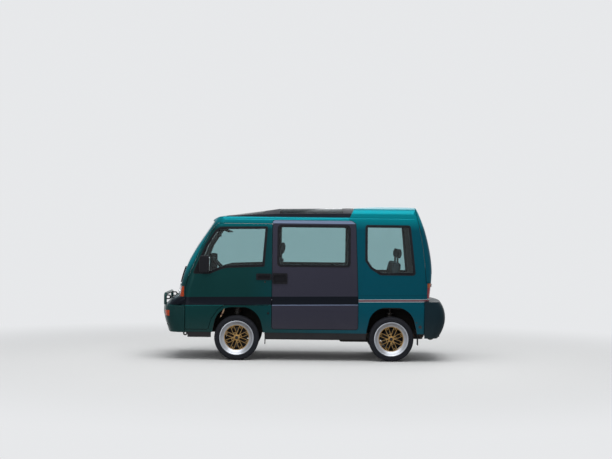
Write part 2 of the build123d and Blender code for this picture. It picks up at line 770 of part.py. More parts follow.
with BuildPart() as cross_members:
    for x, half, low, high in cross_beams:
        add(box_block(x - half, x + half, fit - rail_inner_y, rail_inner_y - fit, low, high))
    # Engine hangers: two side plates with the beams that the engine hangs from
    for y in (-rail_inner_y - hanger_thickness, rail_inner_y):
        add(box_block(hanger_front_x, rail_rear_x, y, y + hanger_thickness, floor_z, platform_z - fit))
    for x in (hanger_front_x + 78, rail_rear_x - 28):
        add(box_block(x - 25, x + 25, fit - rail_inner_y, rail_inner_y - fit, engine_top_z, engine_top_z + 40))
    # Front sub-frame: a low beam between the wishbones, hung from the rails by two posts
    beam_low_z = wishbone_z - arm_thickness / 2 - 8
    beam_high_z = wishbone_z + arm_thickness / 2 + 8
    add(box_block(front_axle_x - 60, front_axle_x + 60, -rail_outer_y, rail_outer_y, beam_low_z, beam_high_z))
    for y in (-rail_outer_y, rail_inner_y):
        add(box_block(front_axle_x - 25, front_axle_x + 25, y, y + rail_outer_y - rail_inner_y,
                      beam_high_z + fit, rail_bottom_z - fit))
save(cross_members.part, "cross_members")

# Tow eyes: drilled plates under the left rail, front and rear
tow_eye_radius = 11.0
tow_eye_thickness = 12.0
tow_eye_half = 28.0
tow_eye_z = 298.0
with BuildPart() as tow_eyes:
    for x in (rail_front_x + 30, rail_rear_x - 23):
        rail_middle_y = (rail_inner_y + rail_outer_y) / 2
        with BuildSketch(Plane.XZ.offset(rail_middle_y - tow_eye_thickness / 2)):
            with BuildLine():
                Polyline((x - tow_eye_half, rail_bottom_z - fit), (x - tow_eye_half, tow_eye_z))
                ThreePointArc((x - tow_eye_half, tow_eye_z), (x, tow_eye_z - tow_eye_half),
                              (x + tow_eye_half, tow_eye_z))
                Polyline((x + tow_eye_half, tow_eye_z), (x + tow_eye_half, rail_bottom_z - fit),
                         (x - tow_eye_half, rail_bottom_z - fit))
            make_face()
            with Locations((x, tow_eye_z)):
                Circle(tow_eye_radius, mode=Mode.SUBTRACT)
        extrude(amount=tow_eye_thickness)
save(tow_eyes.part, "tow_eyes")

with BuildPart() as engine_block:
    with BuildSketch(Plane.XY.offset(250)):
        with Locations((rear_axle_x + 240, 0)):
            Rectangle(350, 580)
    extrude(amount=engine_top_z - fit - 250)
    fillet(engine_block.edges().filter_by(Axis.Z), 30)
save(engine_block.part, "engine_block")

# Fuel tank, hung under a cross member in front of the rear arms
with BuildPart() as fuel_tank:
    add(box_block(440, 805, -290, 290, 205, rail_bottom_z + 6 - fit))
    fillet(fuel_tank.edges().filter_by(Axis.Z), 40)
    fillet(fuel_tank.edges().group_by(Axis.Z)[0], 24)
save(fuel_tank.part, "fuel_tank")

exhaust_x = 1578.0
strap_front_x = 1513.6
with BuildPart() as exhaust:
    with BuildSketch(Plane.XZ.offset(-230)):
        with Locations((exhaust_x, 290)):
            Circle(54)
    extrude(amount=460)
    with BuildSketch(Plane.YZ.offset(exhaust_x)):
        with Locations((170, 262)):
            Circle(18)
    extrude(amount=150)
    for y in (-150, 150):
        add(box_block(strap_front_x, exhaust_x, y - 10, y + 10, 330, 342))
save(exhaust.part, "exhaust")

# Mud flaps behind the wheels
with BuildPart() as mud_flaps:
    for x in (front_axle_x + 345, rear_axle_x + 325):
        for side in (-1, 1):
            with BuildSketch(Plane.XY.offset(200)):
                with Locations((x, side * (half_width - 100))):
                    Rectangle(8, 150)
            extrude(amount=sill_z - fit - 200)
save(mud_flaps.part, "mud_flaps")

# Front seats: cushion, back and headrest as one form each
def seat(hip_x, base_z, half, back_z, rest_z, lean, y):
    with BuildPart() as form:
        with BuildSketch(Plane.XZ.offset(-y - half)):
            with BuildLine():
                Polyline((hip_x - 480, base_z), (hip_x + 40, base_z), (hip_x + 60 + lean, back_z),
                         (hip_x - 30 + lean, back_z), (hip_x - 60, base_z + 150), (hip_x - 470, base_z + 165),
                         close=True)
            make_face()
            fillet(vertices(), 24)
        extrude(amount=2 * half)
        with BuildSketch(Plane.XZ.offset(-y - 120)):
            with BuildLine():
                Polyline((hip_x - 20 + lean, back_z - 4), (hip_x + 40 + lean, back_z - 4),
                         (hip_x + 62 + lean, rest_z), (hip_x - 12 + lean, rest_z), close=True)
            make_face()
        extrude(amount=240)
    return form.part


with BuildPart() as front_seats:
    for y in (-340, 340):
        add(seat(-480, platform_z + 30.3, 235, 1270, 1450, 175, y))
save(front_seats.part, "front_seats")

with BuildPart() as middle_bench:
    with BuildSketch(Plane.XZ.offset(-520)):
        with BuildLine():
            Polyline((-20, floor_z + 30.3), (430, floor_z + 30.3), (480, 860), (400, 900), (350, 760),
                     (-40, 770), close=True)
        make_face()
        fillet(vertices(), 24)
    extrude(amount=1040)
save(middle_bench.part, "middle_bench")

with BuildPart() as rear_bench:
    add(seat(1000, platform_z + 30.3, 290, 1240, 1385, 150, -300))
    add(seat(1000, platform_z + 30.3, 290, 1240, 1385, 150, 300))
save(rear_bench.part, "rear_bench")

# Steering wheel on its column
wheel_pivot = (-1025.0, -340.0, 1097.0)
column_tilt = 48.6
steer_plane = Plane(origin=wheel_pivot, x_dir=(0, 1, 0),
                    z_dir=(sin(radians(column_tilt)), 0, cos(radians(column_tilt))))
steer_section = Plane(origin=wheel_pivot, x_dir=(0, 1, 0),
                      z_dir=(cos(radians(column_tilt)), 0, -sin(radians(column_tilt))))
steer_ring_radius = 172.0
steer_grip_radius = 13.0
steer_hub_radius = 48.0
with BuildPart() as steering_wheel:
    with BuildSketch(steer_section):
        with Locations((steer_ring_radius, steer_grip_radius)):
            Circle(steer_grip_radius)
    revolve(axis=Axis(wheel_pivot, steer_plane.z_dir))
    with BuildSketch(steer_plane):
        Circle(steer_hub_radius)
        for angle in (30, 150, 270):
            with Locations(Location((0, 0, 0), (0, 0, angle))):
                with Locations((steer_ring_radius / 2 + 10, 0)):
                    Rectangle(steer_ring_radius - 30, 26)
    extrude(amount=18)
save(steering_wheel.part, "steering_wheel")

# Doors: the wall inside each shut line, less the window that its rubber fills
def door(shape, window):
    with BuildPart() as panel:
        add(side_wall)
        add(side_block(shape, -gap, door_inner_y), mode=Mode.INTERSECT)
        add(side_block(window, fit), mode=Mode.SUBTRACT)
        # The leading edge ends short of the nose, so that it can swing
        add(box_block(door_front_x - 20, door_front_x + door_edge_reach, -door_edge_inner_y, 0, 0, 1100),
            mode=Mode.SUBTRACT)
    return panel.part


def pane(window):
    with BuildPart() as sheet:
        add(glass_skin)
        add(side_block(window, -window_rubber - fit), mode=Mode.INTERSECT)
    return sheet.part


def rubber(window):
    with BuildPart() as ring:
        add(seal_skin)
        add(side_block(window, 0), mode=Mode.INTERSECT)
        add(side_block(window, -window_rubber), mode=Mode.SUBTRACT)
    return ring.part


door_left = door(front_door_line, front_window_line)
save(door_left, "front_door_left")
save(mirrored(door_left), "front_door_right")
with BuildPart() as door_glass:
    add(pane(front_window_line))
    add(side_block(garnish_line, fit), mode=Mode.SUBTRACT)
door_glass_left = door_glass.part
save(door_glass_left, "front_door_glass_left")
save(mirrored(door_glass_left), "front_door_glass_right")

handle_base = 4.0
recess_skin = layer(plan_loft(upper_levels, -handle_proud - 1), plan_loft(upper_levels, -handle_base))


def pull_handle(x0, x1, z0, z1):
    # A handle plate on the left side's skin, hollowed under the bar that the fingers pull
    edge = 20
    bar = 26
    with BuildPart() as finger_space:
        add(recess_skin)
        add(side_block(outline(((x0 + edge, z0 + edge), (x1 - edge, z0 + edge), (x1 - edge, z1 - bar),
                                (x0 + edge, z1 - bar)), 8), 0), mode=Mode.INTERSECT)
    with BuildPart() as piece:
        add(handle_skin)
        add(side_block(outline(((x0, z0), (x1, z0), (x1, z1), (x0, z1)), 12), 0), mode=Mode.INTERSECT)
        add(finger_space, mode=Mode.SUBTRACT)
    return piece.part


with BuildPart() as garnish:
    add(seal_skin)
    add(side_block(front_window_line, 0), mode=Mode.INTERSECT)
    add(side_block(garnish_line, 0), mode=Mode.INTERSECT)

door_handle = pull_handle(-589, door_rear_x - 6, 980, 1058)
with BuildPart() as door_trim_left:
    add(rubber(front_window_line))
    add(garnish.part)
    add(door_handle)
save(door_trim_left.part, "front_door_trim_left")
save(mirrored(door_trim_left.part), "front_door_trim_right")

# Door mirrors on the front corner of the window
mirror_foot = layer(plan_loft(upper_levels, -handle_proud), plan_loft(upper_levels, -seal_proud - fit))
with BuildPart() as door_mirror_left:
    add(mirror_foot)
    add(box_block(-1262, -1196, -800, -400, 1078, 1150), mode=Mode.INTERSECT)
    with BuildSketch(Plane.XZ.offset(half_width + 8)):
        with Locations((-1213, 1168)):
            RectangleRounded(122, 213, 36)
    extrude(amount=150)
    fillet(door_mirror_left.faces().sort_by(Axis.Y)[0].edges(), 20)
    with BuildSketch(Plane.XZ.offset(half_width - 8)):
        with Locations((-1229, 1114)):
            Rectangle(52, 52)
    extrude(amount=25)
save(door_mirror_left.part, "door_mirror_left")
save(mirrored(door_mirror_left.part), "door_mirror_right")

slide_left = door(slide_door_line, slide_window_line)
catch_clearance = 0.7
slide_catches = (
    # front x, rear x, low z: catches that fill the gap to the body and to the front door
    (slide_rear_x - gap - 5, slide_rear_x + gap - fit, 560),
    (slide_rear_x - gap - 5, slide_rear_x + gap - fit, 690),
    (door_rear_x - gap + catch_clearance, door_rear_x + gap + 1, 996),
)
with BuildPart() as slide_side:
    add(slide_left)
    for x0, x1, z in slide_catches:
        add(box_block(x0, x1, -half_width + 15, -half_width + 29, z, z + 30))
slide_left = slide_side.part
with BuildPart() as sliding_doors:
    add(slide_left)
    add(mirrored(slide_left))
save(sliding_doors.part, "sliding_doors")

side_pane = pane(slide_window_line)
quarter_pane = pane(quarter_window_line)
with BuildPart() as side_glass:
    for piece in (side_pane, quarter_pane):
        add(piece)
        add(mirrored(piece))
save(side_glass.part, "side_glass")

slide_handle = pull_handle(door_rear_x + 6, -209, 935, 1064)
side_rubber = rubber(slide_window_line)
quarter_rubber = rubber(quarter_window_line)
with BuildPart() as side_trim:
    for piece in (side_rubber, quarter_rubber, slide_handle):
        add(piece)
        add(mirrored(piece))
save(side_trim.part, "side_trim")

# Windscreen
with BuildPart() as windshield:
    add(glass_skin)
    add(end_block(screen_line, -fit, nose_x, 900), mode=Mode.INTERSECT)
save(windshield.part, "windshield")

# Tailgate, its window and its trim: the window rubber, the wiper and the pull above the plate recess
plate_half = 265.0
plate_low_z = 770.0
plate_high_z = 892.0
with BuildPart() as plate_recess:
    add(layer(plan_loft(upper_levels, -5), plan_loft(upper_levels, 14)))
    add(box_block(1480, 1800, -plate_half, plate_half, plate_low_z, plate_high_z), mode=Mode.INTERSECT)
with BuildPart() as tailgate:
    add(shell)
    add(tail_region, mode=Mode.INTERSECT)
    add(end_block(tail_window_line, fit, 1300, 500), mode=Mode.SUBTRACT)
    add(plate_recess.part, mode=Mode.SUBTRACT)
save(tailgate.part, "tailgate")

with BuildPart() as tailgate_glass:
    add(glass_skin)
    add(end_block(tail_window_line, -window_rubber - fit, 1300, 500), mode=Mode.INTERSECT)
save(tailgate_glass.part, "tailgate_glass")

with BuildPart() as tail_rubber:
    add(seal_skin)
    add(end_block(tail_window_line, 0, 1300, 500), mode=Mode.INTERSECT)
    add(end_block(tail_window_line, -window_rubber, 1300, 500), mode=Mode.SUBTRACT)

with BuildPart() as tail_pull:
    add(handle_skin)
    add(box_block(1480, 1800, -plate_half - 20, plate_half + 20, plate_high_z + 8, plate_high_z + 44),
        mode=Mode.INTERSECT)

# The wiper's blade lies on the glass, and its arm passes over the rubber from a pivot under the window
wiper_proud = 12.0
wiper_pivot = (40.0, 1040.0)
blade_low_z = 1104.0
with BuildPart() as tail_blade:
    add(layer(plan_loft(upper_levels, -wiper_proud), plan_loft(upper_levels, glass_depth - fit)))
    add(box_block(1400, 1800, -20, 400, blade_low_z, blade_low_z + 14), mode=Mode.INTERSECT)
with BuildSketch() as arm_line:
    with BuildLine():
        Polyline((wiper_pivot[0] - 9, wiper_pivot[1]), (wiper_pivot[0] + 9, wiper_pivot[1]),
                 (196, blade_low_z + 10), (180, blade_low_z + 10), close=True)
    make_face()
with BuildPart() as tail_arm:
    add(layer(plan_loft(upper_levels, -wiper_proud), plan_loft(upper_levels, -seal_proud - fit)))
    add(end_block(arm_line.sketch, 0, 1400, 400), mode=Mode.INTERSECT)
with BuildSketch() as boss_line:
    with Locations(wiper_pivot):
        Circle(17)
with BuildPart() as tail_wiper_boss:
    add(handle_skin)
    add(end_block(boss_line.sketch, 0, 1400, 400), mode=Mode.INTERSECT)

with BuildPart() as tailgate_trim:
    for piece in (tail_rubber, tail_pull, tail_blade, tail_arm, tail_wiper_boss):
        add(piece.part)
save(tailgate_trim.part, "tailgate_trim")

# Tail lamps in the rear corners beside the tailgate
with BuildPart() as lamp_corners:
    add(lamp_corner(0))
    add(mirrored(lamp_corner(0)))

with BuildPart() as tail_lamps:
    add(layer(plan_loft(upper_levels, 0), plan_loft(upper_levels, wall - 12)))
    add(lamp_corners.part, mode=Mode.INTERSECT)
save(tail_lamps.part, "tail_lamps")

# Floor: one folded sheet from the footwell over the wheels to the luggage space
dash_half = door_edge_inner_y - door_swing_clearance
with BuildPart() as floor_limit:
    add(plan_loft(lower_levels, wall + fit))
    add(box_block(door_front_x - gap + fit, tail_cut_x - 30 - fit, -800, 800, 0, 1000), mode=Mode.INTERSECT)
    add(plan_loft(core_levels, wall + core_wall + fit))
with BuildPart() as floor_pan:
    with BuildSketch(Plane.XZ.offset(-half_width)):
        with BuildLine():
            FilletPolyline(
                (-1600, floor_z + 15), (front_axle_x - 330, floor_z + 15),
                (front_axle_x - 330, platform_z + 15), (front_axle_x + 400, platform_z + 15),
                (front_axle_x + 400, floor_z + 15), (700, floor_z + 15), (700, platform_z + 15),
                (1640, platform_z + 15), radius=20)
        trace(line_width=floor_thickness)
    extrude(amount=width)
    add(floor_limit, mode=Mode.INTERSECT)
    for y0, y1 in ((-half_width, -dash_half), (dash_half, half_width)):
        add(box_block(-1600, door_front_x + 2 * door_edge_reach, y0, y1, 300, 500), mode=Mode.SUBTRACT)
    for side in (-1, 1):
        with BuildSketch(Plane.XZ.offset(side * (rail_inner_y + 8) - 2)):
            with Locations((front_axle_x + 30, (floor_z + platform_z) / 2)):
                Rectangle(700, platform_z - floor_z)
        extrude(amount=4)
save(floor_pan.part, "floor_pan")

# Dashboard under the windscreen, with the steering column
dial_hood_half = 165.0
with BuildPart() as dashboard:
    with BuildSketch(Plane.XZ.offset(-half_width)):
        with BuildLine():
            Polyline((-1560, 880), (-1450, 1010), (-1330, 1040), (-1200, 1000), (-1180, 900), (-1260, 780),
                     (-1560, 760), close=True)
        make_face()
        fillet(vertices(), 26)
    extrude(amount=width)
    add(plan_loft(upper_levels, wall + fit), mode=Mode.INTERSECT)
    add(box_block(-1800, -1000, -dash_half, dash_half, 700, 1200), mode=Mode.INTERSECT)
    with BuildSketch(steer_plane.offset(-fit)):
        Circle(26)
    extrude(amount=-260)
    # The hood over the dials, in front of the steering wheel
    with BuildSketch(Plane.XZ.offset(-wheel_pivot[1] - dial_hood_half)):
        with BuildLine():
            Polyline((-1340, 1000), (-1330, 1084), (-1232, 1100), (-1196, 1060), (-1206, 960), close=True)
        make_face()
        fillet(vertices(), 18)
    extrude(amount=2 * dial_hood_half)
save(dashboard.part, "dashboard")

# Sunroof: a raised dark frame whose tinted panels follow its crown
dome_half = 505.0
dome_base_z = 1735.0
dome_sections = (
    # x, height at the sides, height in the middle
    (-1010, 1746, 1752),
    (-960, 1760, 1768),
    (-500, 1782, 1832),
    (-326, 1790, 1858),
    (470, 1800, 1873),
    (600, 1802, 1873),
)
with BuildPart() as dome:
    for x, edge, middle in dome_sections:
        with BuildSketch(Plane.YZ.offset(x)):
            with BuildLine():
                Polyline((-dome_half + 30, edge), (-dome_half, dome_base_z), (dome_half, dome_base_z),
                         (dome_half - 30, edge))
                ThreePointArc((dome_half - 30, edge), (0, middle), (-dome_half + 30, edge))
            make_face()
    loft(ruled=True)
panel_depth = 6.0
panel_lap = 14.0
with BuildPart() as under_dome:
    with Locations((0, 0, -panel_depth)):
        add(dome)
with BuildPart() as pockets:
    for x0, x1, half in sunroof_openings:
        add(box_block(x0 - panel_lap, x1 + panel_lap, -half - panel_lap, half + panel_lap, 1735, 1900))
    with Locations((0, 0, -fit)):
        add(under_dome, mode=Mode.SUBTRACT)

with BuildPart() as sunroof_frame:
    add(dome)
    for x0, x1, half in sunroof_openings:
        add(box_block(x0, x1, -half, half, 1700, 1900), mode=Mode.SUBTRACT)
    add(pockets.part, mode=Mode.SUBTRACT)
    add(low_roof_limits(-fit), mode=Mode.SUBTRACT)
    add(high_roof_limits(-fit), mode=Mode.SUBTRACT)
save(sunroof_frame.part, "sunroof_frame")

with BuildPart() as sunroof_glass:
    for x0, x1, half in sunroof_openings:
        edge = panel_lap - fit
        add(box_block(x0 - edge, x1 + edge, -half - edge, half + edge, 1740, 1900))
    add(dome, mode=Mode.INTERSECT)
    add(under_dome, mode=Mode.SUBTRACT)
save(sunroof_glass.part, "sunroof_glass")

# Guard bar: a hoop on the bumper, with a looped bracket behind each post and a short stay to the nose
hoop_x = nose_x + 45
hoop_half = 440.0
hoop_top_z = 788.0
hoop_radius = 18.0
hoop_bend = 40.0
hoop_foot_z = front_bumper_levels[-1][0] + fit
bracket_x = hoop_x + 60
bracket_low_z = 728.0
bracket_high_z = 772.0
bracket_radius = 8.0
stay_length = 44.0
with BuildPart() as guard_bar:
    with BuildLine(Plane.YZ.offset(hoop_x)):
        FilletPolyline((-hoop_half, hoop_foot_z), (-hoop_half, hoop_top_z), (hoop_half, hoop_top_z),
                       (hoop_half, hoop_foot_z), radius=hoop_bend)
    with BuildSketch(Plane.XY.offset(hoop_foot_z)):
        with Locations((hoop_x, -hoop_half)):
            Circle(hoop_radius)
    sweep()
    for y in (-hoop_half, hoop_half):
        with BuildLine(Plane.XZ.offset(-y)):
            FilletPolyline((hoop_x, bracket_low_z), (bracket_x, bracket_low_z), (bracket_x, bracket_high_z),
                           (hoop_x, bracket_high_z), radius=16)
        with BuildSketch(Plane.YZ.offset(hoop_x)):
            with Locations((y, bracket_low_z)):
                Circle(bracket_radius)
        sweep()
        with BuildSketch(Plane.YZ.offset(bracket_x)):
            with Locations((y, (bracket_low_z + bracket_high_z) / 2)):
                Circle(bracket_radius - 1)
        extrude(amount=stay_length)
save(guard_bar.part, "guard_bar")

# Black covers under the doors and the nose
with BuildPart() as sill_covers:
    for x0, x1, low in ((front_axle_x + 352, rear_axle_x - 312, 256), (-1420, front_axle_x - 318, 276)):
        add(twin_blocks(x0, x1, 600, 690, low, sill_z - fit))
    low_edges = sill_covers.edges().filter_by(Axis.X).group_by(Axis.Z)
    fillet(low_edges[0] + low_edges[1], 20)
save(sill_covers.part, "sill_covers")

# Wipers, which lie on the glass
wiper_skin = layer(plan_loft(upper_levels, -2), plan_loft(upper_levels, glass_depth - fit))
with BuildPart() as wiper_arms:
    for y in (-330, 250):
        with BuildSketch(Plane.YZ.offset(nose_x)):
            with Locations(Location((y, 1030), 12)):
                Rectangle(14, 200)
        extrude(amount=400)

with BuildPart() as front_wipers:
    add(wiper_skin)
    add(wiper_arms.part, mode=Mode.INTERSECT)
save(front_wipers.part, "front_wipers")
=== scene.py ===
import bmesh
import bpy
import json
import math
from math import cos, pi, radians, sin
from mathutils import Matrix, Vector
from mathutils.bvhtree import BVHTree


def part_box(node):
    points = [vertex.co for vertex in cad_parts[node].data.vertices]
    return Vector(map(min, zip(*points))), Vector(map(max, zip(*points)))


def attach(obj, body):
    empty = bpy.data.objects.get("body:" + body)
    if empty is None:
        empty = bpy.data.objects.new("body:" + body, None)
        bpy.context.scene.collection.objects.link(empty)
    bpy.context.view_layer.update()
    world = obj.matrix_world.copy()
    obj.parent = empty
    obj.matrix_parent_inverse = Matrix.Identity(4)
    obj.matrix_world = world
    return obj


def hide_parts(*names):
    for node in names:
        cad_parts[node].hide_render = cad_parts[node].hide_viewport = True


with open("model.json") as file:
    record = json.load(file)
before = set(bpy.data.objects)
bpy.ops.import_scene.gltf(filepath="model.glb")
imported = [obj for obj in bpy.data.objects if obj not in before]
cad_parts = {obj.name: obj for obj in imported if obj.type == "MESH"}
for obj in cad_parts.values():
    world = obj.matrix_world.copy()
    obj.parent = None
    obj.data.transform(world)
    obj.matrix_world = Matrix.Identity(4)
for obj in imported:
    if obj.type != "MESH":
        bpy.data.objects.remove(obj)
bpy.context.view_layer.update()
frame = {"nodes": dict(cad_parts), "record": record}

bodyOf = {node: body for body, nodes in frame["record"]["behaviour"]["bodies"].items() for node in nodes}
print("frame loaded")


# Small helpers for shader trees

def place(tree, kind, **settings):
    node = tree.nodes.new(kind)
    for name, value in settings.items():
        setattr(node, name, value)
    return node


def feed(tree, socket, value):
    # A socket takes a link from another socket, or a plain value
    if isinstance(value, bpy.types.NodeSocket):
        tree.links.new(value, socket)
    else:
        socket.default_value = value


def wire(tree, node, **values):
    # Feeds a node's sockets by their names, with _ for a space
    for label, value in values.items():
        feed(tree, node.inputs[label.replace("_", " ")], value)


def calc(tree, operation, first, second=0.0, third=0.0, clamp=False):
    node = place(tree, "ShaderNodeMath", operation=operation, use_clamp=clamp)
    for socket, value in zip(node.inputs, (first, second, third)):
        feed(tree, socket, value)
    return node.outputs[0]


def times(tree, first, second, clamp=False):
    return calc(tree, "MULTIPLY", first, second, clamp=clamp)


def timesPlus(tree, first, second, third):
    return calc(tree, "MULTIPLY_ADD", first, second, third)


def plus(tree, first, second):
    return calc(tree, "ADD", first, second)


def minus(tree, first, second, clamp=False):
    return calc(tree, "SUBTRACT", first, second, clamp=clamp)


def divide(tree, first, second, clamp=False):
    return calc(tree, "DIVIDE", first, second, clamp=clamp)


def isAbove(tree, first, second):
    return calc(tree, "GREATER_THAN", first, second)


def blendColour(tree, factor, first, second):
    node = place(tree, "ShaderNodeMix", data_type="RGBA")
    feed(tree, node.inputs[0], factor)
    feed(tree, node.inputs[6], first)
    feed(tree, node.inputs[7], second)
    return node.outputs[2]


def objectCoords(tree):
    return place(tree, "ShaderNodeTexCoord").outputs["Object"]


def noise(tree, scale, detail=2.0, rough=0.5):
    vector = objectCoords(tree)
    node = place(tree, "ShaderNodeTexNoise")
    wire(tree, node, Vector=vector, Scale=scale, Detail=detail, Roughness=rough)
    return node.outputs["Fac"]


def splitCoords(tree):
    node = place(tree, "ShaderNodeSeparateXYZ")
    tree.links.new(objectCoords(tree), node.inputs[0])
    return node.outputs[0], node.outputs[1], node.outputs[2]


def startGroup(name, inputs, outputs):
    tree = bpy.data.node_groups.new(name, "ShaderNodeTree")
    for label, value in inputs.items():
        socket = tree.interface.new_socket(label, in_out="INPUT", socket_type="NodeSocketFloat")
        socket.default_value = value
    for label in outputs:
        tree.interface.new_socket(label, in_out="OUTPUT", socket_type="NodeSocketFloat")
    return tree, place(tree, "NodeGroupInput"), place(tree, "NodeGroupOutput")


def useGroup(tree, group, **values):
    node = place(tree, "ShaderNodeGroup", node_tree=group)
    for label, value in values.items():
        feed(tree, node.inputs[label], value)
    return node.outputs


# Shared effects

def makeRoadDust():
    # Dust that thickens towards the road, broken up by noise
    tree, taken, given = startGroup("roadDust", {"Height": 0.7, "Amount": 0.5, "Scale": 6.0}, ["Mask"])
    z = splitCoords(tree)[2]
    rise = divide(tree, z, taken.outputs["Height"], clamp=True)
    low = calc(tree, "POWER", minus(tree, 1.0, rise), 1.6)
    patches = noise(tree, taken.outputs["Scale"], 6.0, 0.65)
    speckle = noise(tree, 160.0, 2.0, 0.6)
    broken = timesPlus(tree, speckle, 0.5, times(tree, patches, 0.9))
    mask = times(tree, times(tree, low, broken), taken.outputs["Amount"], clamp=True)
    wire(tree, given, Mask=mask)
    return tree


def makeEdgeRub():
    # Rubbed edges, from how sharply the mesh bends
    tree, taken, given = startGroup("edgeRub", {"Start": 0.52, "Amount": 0.6}, ["Mask"])
    bend = place(tree, "ShaderNodeNewGeometry").outputs["Pointiness"]
    sharp = times(tree, minus(tree, bend, taken.outputs["Start"]), 14.0, clamp=True)
    chips = isAbove(tree, noise(tree, 38.0, 4.0, 0.7), 0.47)
    mask = times(tree, times(tree, sharp, chips), taken.outputs["Amount"], clamp=True)
    wire(tree, given, Mask=mask)
    return tree


def makeFineGrain():
    # The grain of moulded plastic and rubber: a height and a slow change of tone
    tree, taken, given = startGroup("fineGrain", {"Scale": 900.0}, ["Height", "Tone"])
    cells = place(tree, "ShaderNodeTexVoronoi")
    wire(tree, cells, Vector=objectCoords(tree), Scale=taken.outputs["Scale"])
    height = timesPlus(tree, cells.outputs["Distance"], 0.7, times(tree, noise(tree, 240.0), 0.3))
    wire(tree, given, Height=height, Tone=noise(tree, 5.0, 4.0, 0.6))
    return tree


def makeMetalFlake():
    # Tiny bright flakes in metallic paint
    tree, taken, given = startGroup("metalFlake", {"Scale": 1400.0}, ["Value"])
    cells = place(tree, "ShaderNodeTexVoronoi")
    wire(tree, cells, Vector=objectCoords(tree), Scale=taken.outputs["Scale"])
    split = place(tree, "ShaderNodeSeparateColor")
    tree.links.new(cells.outputs["Color"], split.inputs[0])
    wire(tree, given, Value=split.outputs[0])
    return tree


def makeBandMask():
    # 1 between two heights, with edges about a millimetre soft
    tree, taken, given = startGroup("bandMask", {"Value": 0.0, "Low": 0.0, "High": 1.0}, ["Mask"])
    above = times(tree, minus(tree, taken.outputs["Value"], taken.outputs["Low"]), 900.0, clamp=True)
    below = times(tree, minus(tree, taken.outputs["High"], taken.outputs["Value"]), 900.0, clamp=True)
    wire(tree, given, Mask=times(tree, above, below))
    return tree


def makeClothWeave():
    # Crossed threads: a height and the tone of each thread
    tree, taken, given = startGroup("clothWeave", {"Scale": 900.0}, ["Height", "Tone"])
    x, y, z = splitCoords(tree)
    across = calc(tree, "SINE", times(tree, plus(tree, x, z), taken.outputs["Scale"]))
    along = calc(tree, "SINE", times(tree, plus(tree, y, times(tree, z, 0.35)), taken.outputs["Scale"]))
    wire(tree, given, Height=timesPlus(tree, times(tree, across, along), 0.5, 0.5),
         Tone=noise(tree, 26.0, 3.0, 0.6))
    return tree


def makeInsideMask():
    # 1 on faces that look towards the middle of the cabin
    tree, taken, given = startGroup("insideMask", {"Reach": 1.0}, ["Mask"])
    x, y, z = splitCoords(tree)
    facing = place(tree, "ShaderNodeSeparateXYZ")
    tree.links.new(place(tree, "ShaderNodeNewGeometry").outputs["Normal"], facing.inputs[0])
    middle = minus(tree, z, 1.05)
    total = plus(tree, times(tree, x, facing.outputs[0]),
                 plus(tree, times(tree, times(tree, y, 1.6), facing.outputs[1]),
                      times(tree, middle, facing.outputs[2])))
    inward = calc(tree, "LESS_THAN", total, times(tree, taken.outputs["Reach"], -0.25))
    wire(tree, given, Mask=inward)
    return tree


def makeSpotMask():
    # 1 near one point, ragged at its rim
    tree, taken, given = startGroup("spotMask", {"X": 0.0, "Z": 0.0, "Reach": 0.05}, ["Mask"])
    x, y, z = splitCoords(tree)
    across = minus(tree, x, taken.outputs["X"])
    up = minus(tree, z, taken.outputs["Z"])
    away = calc(tree, "SQRT", plus(tree, times(tree, across, across), times(tree, up, up)))
    near = minus(tree, 1.0, divide(tree, away, taken.outputs["Reach"]), clamp=True)
    ragged = times(tree, near, noise(tree, 60.0, 6.0, 0.7))
    wire(tree, given, Mask=times(tree, minus(tree, ragged, 0.24), 6.0, clamp=True))
    return tree


roadDust = makeRoadDust()
edgeRub = makeEdgeRub()
fineGrain = makeFineGrain()
metalFlake = makeMetalFlake()
bandMask = makeBandMask()
clothWeave = makeClothWeave()
insideMask = makeInsideMask()
spotMask = makeSpotMask()
print("shared shader groups made")


# Materials

dustColour = (0.20, 0.18, 0.155, 1)
rustColour = (0.075, 0.026, 0.012, 1)


def shade(colour, strength, lift=0.0):
    # A lighter or darker tone of a colour
    return tuple(min(1.0, channel * strength + lift) for channel in colour[:3]) + (1,)


def startFinish(name, **sockets):
    material = bpy.data.materials.new(name)
    material.use_nodes = True
    tree = material.node_tree
    shader = tree.nodes["Principled BSDF"]
    wire(tree, shader, **sockets)
    return material, tree, shader


def addBump(tree, shader, height, strength, distance):
    node = place(tree, "ShaderNodeBump")
    wire(tree, node, Strength=strength, Distance=distance, Height=height)
    wire(tree, shader, Normal=node.outputs[0])


